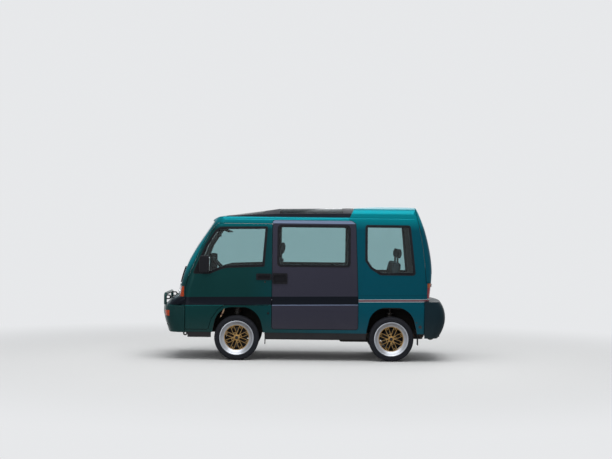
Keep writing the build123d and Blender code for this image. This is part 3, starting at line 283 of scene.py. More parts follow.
bodyPaintLook = {
    # painted highlight for the faces that catch the sky
    "paintedHighlight": (0.0010, 0.185, 0.225, 1),
    "teal": (0.0012, 0.062, 0.092, 1),
    "darkGreen": (0.0042, 0.034, 0.034, 1),
    "stripeBlack": (0.007, 0.0085, 0.013, 1),
    "doorGrey": (0.034, 0.033, 0.049, 1),
    # painted highlight on the sliding doors' top rail and on the line under their stripe
    "doorHighlight": (0.175, 0.220, 0.330, 1),
    "lining": (0.085, 0.088, 0.090, 1),
    "pinWhite": (0.55, 0.58, 0.60, 1),
    "pinRed": (0.20, 0.018, 0.022, 1),
    "toneStart": -0.70,
    "toneEnd": 0.75,
    "topLow": 1.60,
    "topHigh": 1.74,
    "pillarLean": 0.50,
    "pillarFoot": -1.925,
    "pillarSoft": 0.05,
    "pillarLow": 0.90,
    "pillarFade": 0.30,
    "pillarShare": 0.8,
    "railLow": 1.672,
    "railHigh": 1.80,
    "rise": 0.0125,
    "stripeLow": 0.6835,
    "stripeHigh": 0.7835,
    "ledge": 0.008,
    # painted highlight on the ledge under the stripe, on the green panels
    "ledgeHighlight": (0.006, 0.085, 0.085, 1),
    # a thin line of painted shade along the crease on the rear quarter
    "creaseLow": 0.790,
    "creaseHigh": 0.7945,
    "creaseShade": 0.6,
    "lineStart": 0.66,
    "pinLines": ((0.712, 0.718, "pinWhite"), (0.722, 0.735, "pinRed"), (0.739, 0.745, "pinWhite")),
    "dustHeight": 0.62,
    "dustAmount": 0.30,
    "rustShare": 0.75,
    # along the body, height, reach
    "rust": ((1.412, 0.425, 0.050), (1.368, 0.480, 0.022), (-1.105, 0.400, 0.024)),
}


def paintFinish(name, base, stripe=None, pinstripe=False, railHighlight=False):
    # Metallic paint with its stripe, its dust and, on the cabin side, plain lining, with painted highlights
    # on the roof edge, the front pillars and the door rail and under the stripe, and painted shade in the
    # crease line. Without a base colour it runs from dark green at the nose to teal at the tail
    look = bodyPaintLook
    material, tree, shader = startFinish(name, Coat_Roughness=0.05, Specular_IOR_Level=0.05,
                                         Specular_Tint=(0.30, 0.55, 0.62, 1))
    x, y, z = splitCoords(tree)
    level = minus(tree, z, times(tree, x, look["rise"]))
    if base is None:
        tone = divide(tree, minus(tree, x, look["toneStart"]), look["toneEnd"] - look["toneStart"],
                      clamp=True)
        colour = blendColour(tree, tone, look["darkGreen"], look["teal"])
        # Painted highlight: from topLow up, the roof edge and the roof are painted turquoise where they face
        # the sky
        top = divide(tree, minus(tree, z, look["topLow"]), look["topHigh"] - look["topLow"], clamp=True)
        # Painted highlight: the front pillars, ahead of a line that leans back with the windscreen, are
        # painted turquoise where they catch the sky
        ahead = minus(tree, timesPlus(tree, z, look["pillarLean"], look["pillarFoot"]), x)
        pillarHighlight = times(tree, divide(tree, ahead, look["pillarSoft"], clamp=True),
                       divide(tree, minus(tree, z, look["pillarLow"]), look["pillarFade"], clamp=True))
        colour = blendColour(tree, calc(tree, "MAXIMUM", top, times(tree, pillarHighlight, look["pillarShare"])),
                             colour, look["paintedHighlight"])
    else:
        colour = blendColour(tree, 0.0, base, base)
    flake = useGroup(tree, metalFlake)["Value"]
    bright = place(tree, "ShaderNodeHueSaturation")
    wire(tree, bright, Color=colour, Value=timesPlus(tree, flake, 0.35, 0.83))
    colour = bright.outputs[0]
    # Painted highlight: a lighter band along the top rail of the sliding doors
    if railHighlight:
        high = useGroup(tree, bandMask, Value=z, Low=look["railLow"], High=look["railHigh"])["Mask"]
        colour = blendColour(tree, high, colour, look["doorHighlight"])
    if stripe:
        band = useGroup(tree, bandMask, Value=level, Low=look["stripeLow"], High=look["stripeHigh"])["Mask"]
        colour = blendColour(tree, band, colour, stripe)
        # Painted highlight: a thin lighter line on the ledge just under the stripe
        ledge = useGroup(tree, bandMask, Value=level, Low=look["stripeLow"] - look["ledge"],
                         High=look["stripeLow"])
        colour = blendColour(tree, ledge["Mask"], colour, look["doorHighlight"] if base else look["ledgeHighlight"])
    if pinstripe:
        # Painted shade: a thin dark line along the crease on the rear quarter
        line = useGroup(tree, bandMask, Value=level, Low=look["creaseLow"], High=look["creaseHigh"])["Mask"]
        line = times(tree, line, isAbove(tree, x, look["lineStart"]))
        colour = blendColour(tree, times(tree, line, look["creaseShade"]), colour, look["stripeBlack"])
        for low, high, tint in look["pinLines"]:
            line = useGroup(tree, bandMask, Value=level, Low=low, High=high)["Mask"]
            line = times(tree, line, isAbove(tree, x, look["lineStart"]))
            colour = blendColour(tree, line, colour, look[tint])
    dust = useGroup(tree, roadDust, Height=look["dustHeight"], Amount=look["dustAmount"])["Mask"]
    colour = blendColour(tree, dust, colour, dustColour)
    if base is None:
        for spotX, spotZ, reach in look["rust"]:
            spot = useGroup(tree, spotMask, X=spotX, Z=spotZ, Reach=reach)["Mask"]
            spot = times(tree, spot, look["rustShare"])
            colour = blendColour(tree, spot, colour, rustColour)
            dust = calc(tree, "MAXIMUM", dust, spot)
    inside = useGroup(tree, insideMask)["Mask"]
    colour = blendColour(tree, inside, colour, look["lining"])
    wire(tree, shader, Base_Color=colour)
    outside = minus(tree, 1.0, inside)
    smear = noise(tree, 3.0, 5.0, 0.6)
    rough = timesPlus(tree, dust, 0.5, timesPlus(tree, smear, 0.12, 0.30))
    wire(tree, shader, Roughness=timesPlus(tree, inside, 0.4, rough))
    clean = times(tree, minus(tree, 1.0, dust), outside)
    wire(tree, shader, Coat_Weight=times(tree, clean, 0.06), Metallic=times(tree, clean, 0.5))
    peel = noise(tree, 420.0, 2.0, 0.5)
    addBump(tree, shader, peel, 0.06, 0.0004)
    return material


def plasticFinish(name, base, rough=0.5, grainScale=900.0, bump=0.25, dustAmount=0.5, dustHeight=0.8,
                  gloss=0.16):
    material, tree, shader = startFinish(name, Specular_IOR_Level=gloss)
    grain = useGroup(tree, fineGrain, Scale=grainScale)
    faded = shade(base, 1.5, 0.004)
    colour = blendColour(tree, times(tree, grain["Tone"], 0.55), base, faded)
    dust = useGroup(tree, roadDust, Height=dustHeight, Amount=dustAmount)["Mask"]
    colour = blendColour(tree, dust, colour, dustColour)
    rub = useGroup(tree, edgeRub, Amount=0.35)["Mask"]
    colour = blendColour(tree, rub, colour, shade(base, 2.0, 0.012))
    wire(tree, shader, Base_Color=colour, Roughness=timesPlus(tree, grain["Tone"], 0.25, rough - 0.12))
    addBump(tree, shader, grain["Height"], bump, 0.0006)
    return material


def guardFinish(name, hoopColour, hoopBack):
    # The hoop has the bumper's colour and the brackets behind it are black
    material, tree, shader = startFinish(name, Specular_IOR_Level=0.18)
    grain = useGroup(tree, fineGrain, Scale=700.0)
    x = splitCoords(tree)[0]
    colour = blendColour(tree, isAbove(tree, x, hoopBack), hoopColour, (0.008, 0.008, 0.010, 1))
    rub = useGroup(tree, edgeRub, Amount=0.3)["Mask"]
    colour = blendColour(tree, rub, colour, (0.06, 0.07, 0.07, 1))
    wire(tree, shader, Base_Color=colour, Roughness=timesPlus(tree, grain["Tone"], 0.2, 0.22))
    addBump(tree, shader, grain["Height"], 0.06, 0.0004)
    return material


def metalFinish(name, base, rough, rubbed=None, rust=0.0, dustAmount=0.25):
    material, tree, shader = startFinish(name, Metallic=1.0)
    grain = useGroup(tree, fineGrain, Scale=320.0)
    colour = blendColour(tree, times(tree, grain["Tone"], 0.5), base, shade(base, 0.72))
    if rubbed:
        colour = blendColour(tree, useGroup(tree, edgeRub)["Mask"], colour, rubbed)
    dust = useGroup(tree, roadDust, Height=0.7, Amount=dustAmount)["Mask"]
    colour = blendColour(tree, dust, colour, dustColour)
    metallic = minus(tree, 1.0, dust)
    if rust:
        spots = isAbove(tree, noise(tree, 22.0, 8.0, 0.7), 0.62 - rust * 0.2)
        colour = blendColour(tree, spots, colour, rustColour)
        metallic = times(tree, metallic, minus(tree, 1.0, spots))
    wire(tree, shader, Base_Color=colour, Metallic=metallic,
         Roughness=timesPlus(tree, grain["Tone"], 0.16, rough))
    addBump(tree, shader, grain["Height"], 0.08, 0.0004)
    return material


def glassFinish(name, tint, rough=0.015, bend=1.35):
    # Clear or tinted glass with a thin uneven film on it
    material, tree, shader = startFinish(name, Transmission_Weight=1.0, IOR=bend, Roughness=rough)
    film = noise(tree, 4.0, 5.0, 0.6)
    dusty = shade(tint, 0.9)
    colour = blendColour(tree, times(tree, film, 0.35), tint, dusty)
    wire(tree, shader, Base_Color=colour, Roughness=timesPlus(tree, film, 0.02, rough))
    return material


def lensFinish(name, base, ribs, upper=None, split=0.0, clearBelow=None):
    # Moulded lamp lens: fine ribs under a glossy face, with another colour above the split height
    see = 0.85 if name == "clearLens" else 0.0
    material, tree, shader = startFinish(name, Transmission_Weight=see, Roughness=0.12,
                                         Specular_IOR_Level=0.12)
    x, y, z = splitCoords(tree)
    wave = calc(tree, "SINE", times(tree, plus(tree, x, y), ribs))
    rows = calc(tree, "SINE", times(tree, z, ribs * 0.6))
    height = timesPlus(tree, wave, 0.5, times(tree, rows, 0.25))
    colour = blendColour(tree, 0.0, base, base)
    if upper:
        colour = blendColour(tree, isAbove(tree, z, split), colour, upper)
    if clearBelow:
        colour = blendColour(tree, calc(tree, "LESS_THAN", z, clearBelow), colour, (0.35, 0.36, 0.38, 1))
    colour = blendColour(tree, timesPlus(tree, wave, 0.12, 0.12), colour, (0.02, 0.01, 0.01, 1))
    wire(tree, shader, Base_Color=colour)
    addBump(tree, shader, height, 0.4, 0.0012)
    return material


def clothFinish(name, base, second):
    # Woven seat cloth, with painted shade in its sewn seams, which the mesh marks
    material, tree, shader = startFinish(name, Roughness=0.9, Specular_IOR_Level=0.15)
    weave = useGroup(tree, clothWeave)
    colour = blendColour(tree, weave["Height"], base, second)
    seam = place(tree, "ShaderNodeAttribute", attribute_name="seam").outputs["Fac"]
    # Painted shade in the drawn-in seams
    colour = blendColour(tree, times(tree, seam, 0.75), colour, (0.006, 0.006, 0.008, 1))
    colour = blendColour(tree, times(tree, weave["Tone"], 0.35), colour, shade(base, 0.5))
    wire(tree, shader, Base_Color=colour, Roughness=timesPlus(tree, weave["Tone"], 0.15, 0.78))
    addBump(tree, shader, weave["Height"], 0.5, 0.0008)
    return material


def tyreFinish(name):
    # Black rubber with a slow change of tone, greyer on its rubbed edges
    material, tree, shader = startFinish(name, Specular_IOR_Level=0.15)
    grain = useGroup(tree, fineGrain, Scale=700.0)
    colour = blendColour(tree, times(tree, grain["Tone"], 0.6), (0.0075, 0.0085, 0.012, 1),
                         (0.020, 0.021, 0.027, 1))
    rub = useGroup(tree, edgeRub, Amount=0.5)["Mask"]
    colour = blendColour(tree, rub, colour, (0.045, 0.044, 0.046, 1))
    wire(tree, shader, Base_Color=colour, Roughness=timesPlus(tree, grain["Tone"], 0.2, 0.62))
    addBump(tree, shader, grain["Height"], 0.25, 0.0008)
    return material


black, grey = bodyPaintLook["stripeBlack"], bodyPaintLook["doorGrey"]
finishes = {
    "bodyPaint": paintFinish("bodyPaint", None, pinstripe=True),
    "stripedPaint": paintFinish("stripedPaint", None, stripe=black),
    "doorPaint": paintFinish("doorPaint", grey, stripe=black, railHighlight=True),
    "guardPaint": guardFinish("guardPaint", (0.005, 0.042, 0.040, 1), -1.6975),
    "tyreRubber": tyreFinish("tyreRubber"),
}
finishTables = (
    (plasticFinish, {
        # base, rough, grain scale, bump, dust, dust height, gloss
        "bumperPaint": ((0.0032, 0.026, 0.026, 1), 0.34, 700.0, 0.08, 0.16, 0.5, 0.08),
        "rearBumperPaint": ((0.006, 0.016, 0.022, 1), 0.5, 700.0, 0.15, 0.22, 0.6, 0.05),
        "framePlastic": ((0.0045, 0.006, 0.011, 1), 0.45, 900.0, 0.15, 0.1, 0.8, 0.05),
        "archLiner": ((0.006, 0.006, 0.006, 1), 0.85, 260.0, 0.5, 0.25, 0.9, 0.05),
        "blackPlastic": ((0.007, 0.0075, 0.010, 1), 0.5, 900.0, 0.3, 0.22, 0.8, 0.10),
        "blackRubber": ((0.006, 0.006, 0.008, 1), 0.55, 1200.0, 0.2, 0.15, 0.8, 0.08),
        "cabinPlastic": ((0.050, 0.050, 0.056, 1), 0.62, 800.0, 0.45, 0.0),
        "underbody": ((0.009, 0.009, 0.010, 1), 0.75, 300.0, 0.6, 0.3, 0.9, 0.06),
        "plainPlate": ((0.34, 0.34, 0.33, 1), 0.4, 500.0, 0.05, 0.3, 0.8),
    }),
    (metalFinish, {
        # base, rough, rubbed edges, rust, dust
        "steel": ((0.030, 0.029, 0.028, 1), 0.5, (0.12, 0.115, 0.11, 1), 0.25, 0.25),
        "castIron": ((0.022, 0.022, 0.023, 1), 0.55, None, 0.05, 0.12),
        "lampBowl": ((0.72, 0.74, 0.76, 1), 0.14, None, 0.0, 0.0),
        "mirrorGlass": ((0.78, 0.82, 0.84, 1), 0.03, None, 0.0, 0.0),
        "polishedLip": ((0.46, 0.485, 0.53, 1), 0.30, None, 0.0, 0.05),
        "goldSpokes": ((0.36, 0.205, 0.062, 1), 0.36, (0.50, 0.36, 0.18, 1), 0.0, 0.04),
        "strapSteel": ((0.42, 0.28, 0.18, 1), 0.5, (0.50, 0.43, 0.37, 1), 0.35, 0.2),
        "brakeSteel": ((0.016, 0.015, 0.016, 1), 0.5, None, 0.05, 0.05),
        "brightMetal": ((0.72, 0.73, 0.75, 1), 0.2, None, 0.0, 0.1),
    }),
    (glassFinish, {
        # tint, rough, index of refraction
        "windowGlass": ((0.50, 0.66, 0.670, 1),),
        "roofGlass": ((0.05, 0.095, 0.115, 1), 0.12, 1.03),
    }),
    (lensFinish, {
        # base, ribs, upper colour, its height, where the clear part ends
        "clearLens": ((0.80, 0.82, 0.84, 1), 520.0),
        "amberLens": ((0.42, 0.042, 0.001, 1), 900.0),
        "tailLens": ((0.28, 0.006, 0.014, 1), 900.0, (0.36, 0.065, 0.005, 1), 0.900, 0.775),
    }),
    (clothFinish, {
        # two colours of thread
        "seatCloth": ((0.060, 0.066, 0.080, 1), (0.115, 0.120, 0.135, 1)),
        "seatSide": ((0.028, 0.030, 0.036, 1), (0.050, 0.052, 0.060, 1)),
    }),
)
for maker, rows in finishTables:
    for name, values in rows.items():
        finishes[name] = maker(name, *values)
print("materials made:", len(finishes))


# Pieces

def addObject(name, data):
    item = bpy.data.objects.new(name, data)
    bpy.context.scene.collection.objects.link(item)
    return item


def finishPiece(name, mesh, finish, body, nodes=()):
    piece = addObject(name, mesh)
    mesh.materials.clear()
    mesh.materials.append(finishes[finish])
    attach(piece, body)
    if nodes:
        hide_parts(*nodes)
    return piece


def smoothEdges(shape, sharpAngle):
    for face in shape.faces:
        face.smooth = True
    for edge in shape.edges:
        edge.smooth = len(edge.link_faces) == 2 and edge.calc_face_angle(0.0) < radians(sharpAngle)


def meshFrom(shape, name, sharpAngle=30.0, recalculate=True):
    if recalculate:
        bmesh.ops.recalc_face_normals(shape, faces=shape.faces)
    smoothEdges(shape, sharpAngle)
    mesh = bpy.data.meshes.new(name)
    shape.to_mesh(mesh)
    shape.free()
    return mesh


def softenEdges(shape, edges, width, segments=2):
    bmesh.ops.bevel(shape, geom=edges, offset=width, segments=segments, affect="EDGES", profile=0.5,
                    material=-1)


def moveShape(shape, shift):
    bmesh.ops.translate(shape, vec=shift, verts=shape.verts)


def turnShape(shape, degrees, axis):
    bmesh.ops.rotate(shape, cent=(0, 0, 0), matrix=Matrix.Rotation(radians(degrees), 3, axis),
                     verts=shape.verts)


def blockShape(size):
    # A box about the origin
    shape = bmesh.new()
    bmesh.ops.create_cube(shape, size=1.0)
    for vert in shape.verts:
        vert.co = Vector(vert.co[axis] * size[axis] for axis in range(3))
    return shape


def coneShape(sides, lowRadius, highRadius, height):
    shape = bmesh.new()
    bmesh.ops.create_cone(shape, segments=sides, radius1=lowRadius, radius2=highRadius, depth=height,
                          cap_ends=True)
    return shape


def refine(piece, levels):
    finer = piece.modifiers.new("finer", "SUBSURF")
    finer.levels = levels
    finer.render_levels = levels


def grownVerts(grown):
    return [part for part in grown["geom"] if isinstance(part, bmesh.types.BMVert)]


def panelSkin(node, finish):
    # A merged, smooth copy of a panel, which stands for it
    shape = bmesh.new()
    shape.from_mesh(frame["nodes"][node].data)
    bmesh.ops.remove_doubles(shape, verts=shape.verts, dist=0.00001)
    mesh = meshFrom(shape, node + "Skin", 28.0, False)
    piece = finishPiece(node + "Skin", mesh, finish, bodyOf[node], (node,))
    even = piece.modifiers.new("evenShade", "WEIGHTED_NORMAL")
    even.keep_sharp = True


def mirrorMesh(mesh):
    other = mesh.copy()
    other.transform(Matrix.Diagonal((1, -1, 1, 1)))
    other.flip_normals()
    return other


def addShape(name, shape, finish, body, nodes=(), sharpAngle=30.0):
    return finishPiece(name, meshFrom(shape, name, sharpAngle), finish, body, nodes)


def addPair(name, shape, finish, body, sharpAngle=30.0):
    # The same piece on the left and, mirrored, on the right. SIDE stands for the side in a body's name
    mesh = meshFrom(shape, name, sharpAngle)
    finishPiece(name + "Left", mesh, finish, body.replace("SIDE", "left"))
    finishPiece(name + "Right", mirrorMesh(mesh), finish, body.replace("SIDE", "right"))


def pairBody(node):
    return bodyOf[node].replace("left", "SIDE")


panelFinishes = {
    "body_side_left": "bodyPaint", "body_side_right": "bodyPaint", "roof_panel": "bodyPaint",
    "front_panel": "stripedPaint", "front_door_left": "stripedPaint", "front_door_right": "stripedPaint",
    "sliding_doors": "doorPaint", "tailgate": "bodyPaint", "guard_bar": "guardPaint",
    "front_bumper": "bumperPaint", "rear_bumper": "rearBumperPaint", "sill_covers": "blackPlastic",
    "grille": "blackPlastic", "front_wipers": "blackPlastic", "sunroof_frame": "framePlastic",
    "door_mirror_left": "blackPlastic", "door_mirror_right": "blackPlastic", "side_trim": "blackRubber",
    "front_door_trim_left": "blackRubber", "front_door_trim_right": "blackRubber",
    "tailgate_trim": "blackRubber", "mud_flaps": "blackRubber", "windshield": "windowGlass",
    "side_glass": "windowGlass", "front_door_glass_left": "windowGlass",
    "front_door_glass_right": "windowGlass", "tailgate_glass": "windowGlass", "sunroof_glass": "roofGlass",
    "headlamps": "clearLens", "front_indicators": "amberLens", "tail_lamps": "tailLens",
    "lamp_housings": "lampBowl", "floor_pan": "underbody", "chassis_rails": "underbody",
    "cross_members": "underbody", "tow_eyes": "steel", "fuel_tank": "underbody",
    "front_suspension": "steel", "rear_suspension": "steel", "exhaust": "steel",
    "front_knuckle_left": "steel", "front_knuckle_right": "steel", "engine_block": "castIron",
    "dashboard": "cabinPlastic",
}
for node, finish in panelFinishes.items():
    panelSkin(node, finish)
print("panels dressed:", len(panelFinishes))


# Wheels, made about their own middle with the outer face towards -Y, then moved to their axles

wheelLook = {
    "pockets": 8,
    "hub": ((0.017, -0.0475), (0.028, -0.0470), (0.034, -0.0440), (0.038, -0.0380), (0.037, 0.010),
            (0.017, 0.012)),
    "edgeRing": ((0.156, -0.0240), (0.156, -0.0325), (0.151, -0.0350), (0.146, -0.0330), (0.1445, -0.0240)),
    "barStart": 0.050,
    "barBend": 0.098,
    "barEnd": 0.152,
    "innerSpread": 2.5,
    "bendSpread": 10.5,
    "outerSpread": 15.5,
    # width, depth, y and taper of each bar
    "innerBar": (0.0092, 0.017, -0.032, 0.80),
    "outerBar": (0.0074, 0.015, -0.031, 1.10),
    "hubRib": (0.013, 0.016, -0.036, 0.90),
    "hubRibRun": (0.026, 0.056),
    "pocketRib": (0.008, 0.008, -0.025, 1.60),
    "pocketRibRun": (0.118, 0.153),
    "lugCircle": 0.051,
    "lugCount": 4,
    "lugTurn": 22.5,
    "rivets": 32,
    "rivetCircle": 0.1515,
    "rivetSize": (0.0036, 0.0034, 8),
    "rivetY": -0.0335,
    "well": ((0.0105, -0.0505), (0.0150, -0.0500), (0.0165, -0.0420), (0.0165, -0.0360), (0.0105, -0.0360)),
    # a black disc at the bottom of each lug well, as painted shade
    "wellShadeDisc": ((0.0008, -0.0395), (0.0112, -0.0395), (0.0112, -0.0360), (0.0008, -0.0360)),
    "cap": ((0.0008, -0.0520), (0.0155, -0.0515), (0.0205, -0.0495), (0.0215, -0.0460), (0.0008, -0.0450)),
    "boltSize": (6, 0.0088, 0.0078, 0.010),
    "boltY": -0.0410,
    "steps": 96,
}


def latheShape(profile, steps):
    # Spins a closed outline of (radius, y) points about the Y axis
    shape = bmesh.new()
    corners = [shape.verts.new((radius, y, 0)) for radius, y in profile]
    edges = [shape.edges.new((corners[i], corners[(i + 1) % len(corners)])) for i in range(len(corners))]
    bmesh.ops.spin(shape, geom=corners + edges, cent=(0, 0, 0), axis=(0, 1, 0), dvec=(0, 0, 0),
                   angle=2 * pi, steps=steps, use_merge=True, use_duplicate=False)
    return shape


def joinShapes(target, extra):
    # Adds one bmesh to another
    carrier = bpy.data.meshes.new("carrier")
    extra.to_mesh(carrier)
    extra.free()
    target.from_mesh(carrier)
    bpy.data.meshes.remove(carrier)


def barShape(start, end, width, depth, y, taper=1.0, front=0.72, edge=0.16):
    # One cast spoke from start to end in the XZ plane, narrower at its front, with rounded edges
    run = Vector((end[0] - start[0], 0, end[1] - start[1]))
    shape = blockShape((run.length, depth, width))
    for vert in shape.verts:
        vert.co.z *= (taper if vert.co.x > 0 else 1.0) * (front if vert.co.y < 0 else 1.0)
    softenEdges(shape, shape.edges[:], width * edge)
    turn = Matrix.Rotation(-math.atan2(run.z, run.x), 4, "Y")
    middle = Vector(((start[0] + end[0]) / 2, y, (start[1] + end[1]) / 2))
    bmesh.ops.transform(shape, matrix=Matrix.Translation(middle) @ turn, verts=shape.verts)
    return shape


def boltHead(radius, height, sides=6):
    # A hexagon or round head with a chamfered top, standing on z = 0
    shape = coneShape(sides, radius, radius, height)
    moveShape(shape, (0, 0, height / 2))
    top = [edge for edge in shape.edges if all(vert.co.z > height * 0.9 for vert in edge.verts)]
    softenEdges(shape, top, height * 0.3)
    return shape


def stand(shape, spot, normal):
    # Turns a shape that stands on z = 0 so that it stands on the skin
    turn = normal.to_track_quat("Z", "Y").to_matrix().to_4x4()
    bmesh.ops.transform(shape, matrix=Matrix.Translation(spot) @ turn, verts=shape.verts)
    return shape


def around(radius, degrees):
    return (radius * cos(radians(degrees)), radius * sin(radians(degrees)))


def lugPlaces(look):
    step = 360 / look["lugCount"]
    return [around(look["lugCircle"], look["lugTurn"] + step * lug) for lug in range(look["lugCount"])]


def makeLip(look):
    profile = (
        (0.208, -0.0760), (0.2085, -0.0735), (0.2065, -0.0700), (0.1965, -0.0660), (0.190, -0.0600),
        (0.190, 0.0660), (0.2065, 0.0700), (0.208, 0.0760), (0.203, 0.0765), (0.196, 0.0700),
        (0.184, 0.0640), (0.184, -0.0240), (0.150, -0.0180), (0.146, -0.0250), (0.148, -0.0310),
        (0.154, -0.0345), (0.162, -0.0405), (0.170, -0.0470), (0.178, -0.0540), (0.185, -0.0610),
        (0.191, -0.0675), (0.1965, -0.0735), (0.2030, -0.0772),
    )
    return latheShape(profile, look["steps"])


def makeSpokes(look):
    # Eight wedge-shaped pockets with a pair of slim bars between them, an edge ring and a low hub
    shape = latheShape(look["edgeRing"], look["steps"])
    step = 360 / look["pockets"]
    for pocket in range(look["pockets"]):
        angle = step * pocket
        for side in (-1, 1):
            start = around(look["barStart"], angle + side * look["innerSpread"])
            bend = around(look["barBend"], angle + side * look["bendSpread"])
            end = around(look["barEnd"], angle + side * look["outerSpread"])
            joinShapes(shape, barShape(start, bend, *look["innerBar"]))
            joinShapes(shape, barShape(bend, end, *look["outerBar"]))
        for rib, run, turn in (("hubRib", "hubRibRun", angle),
                               ("pocketRib", "pocketRibRun", angle + step / 2)):
            start, end = [around(radius, turn) for radius in look[run]]
            joinShapes(shape, barShape(start, end, *look[rib]))
    joinShapes(shape, latheShape(look["hub"], 48))
    for x, z in lugPlaces(look):
        well = latheShape(look["well"], 28)
        moveShape(well, (x, 0, z))
        joinShapes(shape, well)
    for rivet in range(look["rivets"]):
        x, z = around(look["rivetCircle"], 360 / look["rivets"] * (rivet + 0.5))
        head = boltHead(*look["rivetSize"])
        turnShape(head, 90, "X")
        moveShape(head, (x, look["rivetY"], z))
        joinShapes(shape, head)
    return shape


def makeCap(look):
    # The dark centre cap and, in their wells, the wheel bolts, with a black disc closing the bottom of each
    # well as painted shade
    shape = latheShape(look["cap"], 40)
    for x, z in lugPlaces(look):
        bolt = coneShape(*look["boltSize"])
        turnShape(bolt, 90, "X")
        moveShape(bolt, (x, look["boltY"], z))
        joinShapes(shape, bolt)
        # Painted shade: a black disc at the bottom of each well
        floor = latheShape(look["wellShadeDisc"], 24)
        moveShape(floor, (x, 0, z))
        joinShapes(shape, floor)
    return shape


tyreLook = {
    "radius": 0.273,
    "halfWidth": 0.0825,
    "grooves": (-0.036, -0.012, 0.012, 0.036),
    "grooveWidth": 0.007,
    "grooveDepth": 0.007,
    "grooveTaper": 0.7,
    "crownDepth": 0.0035,
    "stagger": 40,
    "steps": 144,
    "sipeEvery": 2,
    "sipeDepth": 0.0022,
    "blockInset": 0.0012,
}


def makeTyre(look):
    # Sidewalls with their ribs, and a tread of blocks between the round grooves
    half = look["halfWidth"]
    top = look["radius"]
    side = [
        (0.1905, -0.0640), (0.2085, -0.0700), (0.2095, -0.0765), (0.2150, -0.0800), (0.2170, -0.0818),
        (0.2190, -0.0806), (0.2290, -half), (0.2360, -half), (0.2380, -0.0812), (0.2400, -0.0812),
        (0.2420, -0.0823), (0.2520, -0.0805), (0.2610, -0.0752), (0.2680, -0.0680), (0.2715, -0.0560),
    ]
    crown = []
    wide = look["grooveWidth"] / 2
    narrow = wide * look["grooveTaper"]
    low = top - look["grooveDepth"]
    for groove in look["grooves"]:
        crown += [(top, groove - wide), (low, groove - narrow), (low, groove + narrow),
                  (top, groove + wide)]
    profile = side + crown + [(radius, -y) for radius, y in reversed(side)]
    shape = latheShape(profile, look["steps"])
    blocks = [face for face in shape.faces
              if face.calc_center_median().xz.length > top - look["crownDepth"] and abs(face.normal.y) < 0.5]
    slot = 2 * pi / look["steps"]
    cut = []
    for face in blocks:
        middle = face.calc_center_median()
        turn = math.atan2(middle.z, middle.x) / slot
        if int(math.floor(turn + 0.001 + look["stagger"] * abs(middle.y))) % look["sipeEvery"] == 0:
            cut.append(face)
    bmesh.ops.inset_individual(shape, faces=cut, thickness=look["blockInset"], depth=0.0)
    for face in cut:
        for vert in face.verts:
            away = Vector((vert.co.x, 0, vert.co.z)).normalized()
            vert.co -= away * look["sipeDepth"]
    return shape


wheelPlaces = ("front_left", "front_right", "rear_left", "rear_right")


def atAxle(master, name):
    # A copy of a mesh at this wheel, turned round on the right-hand side
    low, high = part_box("tyre_" + name)
    middle = (low + high) / 2
    mesh = master.copy()
    if middle.y > 0:
        mesh.transform(Matrix.Diagonal((1, -1, 1, 1)))
        mesh.flip_normals()
    mesh.transform(Matrix.Translation(middle))
    return mesh


wheelParts = (
    ("rimLip", makeLip, wheelLook, "polishedLip", "wheel_metal", "rim_"),
    ("rimSpokes", makeSpokes, wheelLook, "goldSpokes", "wheel_metal", "rim_"),
    ("rimCap", makeCap, wheelLook, "blackPlastic", "black_plastic", "rim_"),
    ("tyreTread", makeTyre, tyreLook, "tyreRubber", "tyre_rubber", "tyre_"),
)
for part, maker, look, finish, slotName, prefix in wheelParts:
    master = meshFrom(maker(look), part, 34.0)
    for name in wheelPlaces:
        mesh = atAxle(master, name)
        node = prefix + name
        finishPiece(part + "_" + name, mesh, finish, bodyOf[node], (node,))
print("wheels made")


# Brakes behind the spokes, about the middle of the wheel with the outer face towards -Y

brakeLook = {
    "discRadius": 0.125,
    "drumRadius": 0.112,
    "hubRadius": 0.0425,
    "steps": 72,
    "caliperSize": (0.046, 0.040, 0.104),
    "caliperEdge": 0.009,
    "caliperPlace": (0.118, 0.0290, 0),
    "caliperTurn": -20,
    "boltSize": (6, 0.008, 0.007, 0.010),
    "boltPlaces": ((0.118, 0.0060, -0.032), (0.118, 0.0060, 0.032)),
}


def makeDisc(look):
    # Brake disc with its top hat and a groove round its rim
    outer = look["discRadius"]
    profile = ((look["hubRadius"], 0.0290), (0.062, 0.0290), (0.062, 0.0200), (0.066, 0.0185),
               (outer - 0.001, 0.0185), (outer, 0.0195), (outer, 0.0230), (outer - 0.004, 0.0240),
               (outer, 0.0250), (outer, 0.0290), (outer - 0.001, 0.0300), (0.068, 0.0300),
               (0.068, 0.0330), (look["hubRadius"], 0.0330))
    return latheShape(profile, look["steps"])


def makeCaliper(look):
    # A bridge over the disc at its rear edge, with two bolt heads
    shape = blockShape(look["caliperSize"])
    softenEdges(shape, shape.edges[:], look["caliperEdge"], 3)
    moveShape(shape, look["caliperPlace"])
    for spot in look["boltPlaces"]:
        head = coneShape(*look["boltSize"])
        turnShape(head, 90, "X")
        moveShape(head, spot)
        joinShapes(shape, head)
    turnShape(shape, look["caliperTurn"], "Y")
    return shape


def makeDrum(look):
    # Ribbed brake drum
    outer = look["drumRadius"]
    profile = ((look["hubRadius"], 0.0280), (0.060, 0.0280), (0.064, 0.0310), (outer - 0.012, 0.0320),
               (outer - 0.002, 0.0370), (outer - 0.002, 0.0450), (outer, 0.0460), (outer, 0.0500),
               (outer - 0.003, 0.0510), (outer - 0.003, 0.0560), (outer, 0.0570), (outer, 0.0610),
               (outer - 0.006, 0.0630), (look["hubRadius"], 0.0640))
    return latheShape(profile, look["steps"])


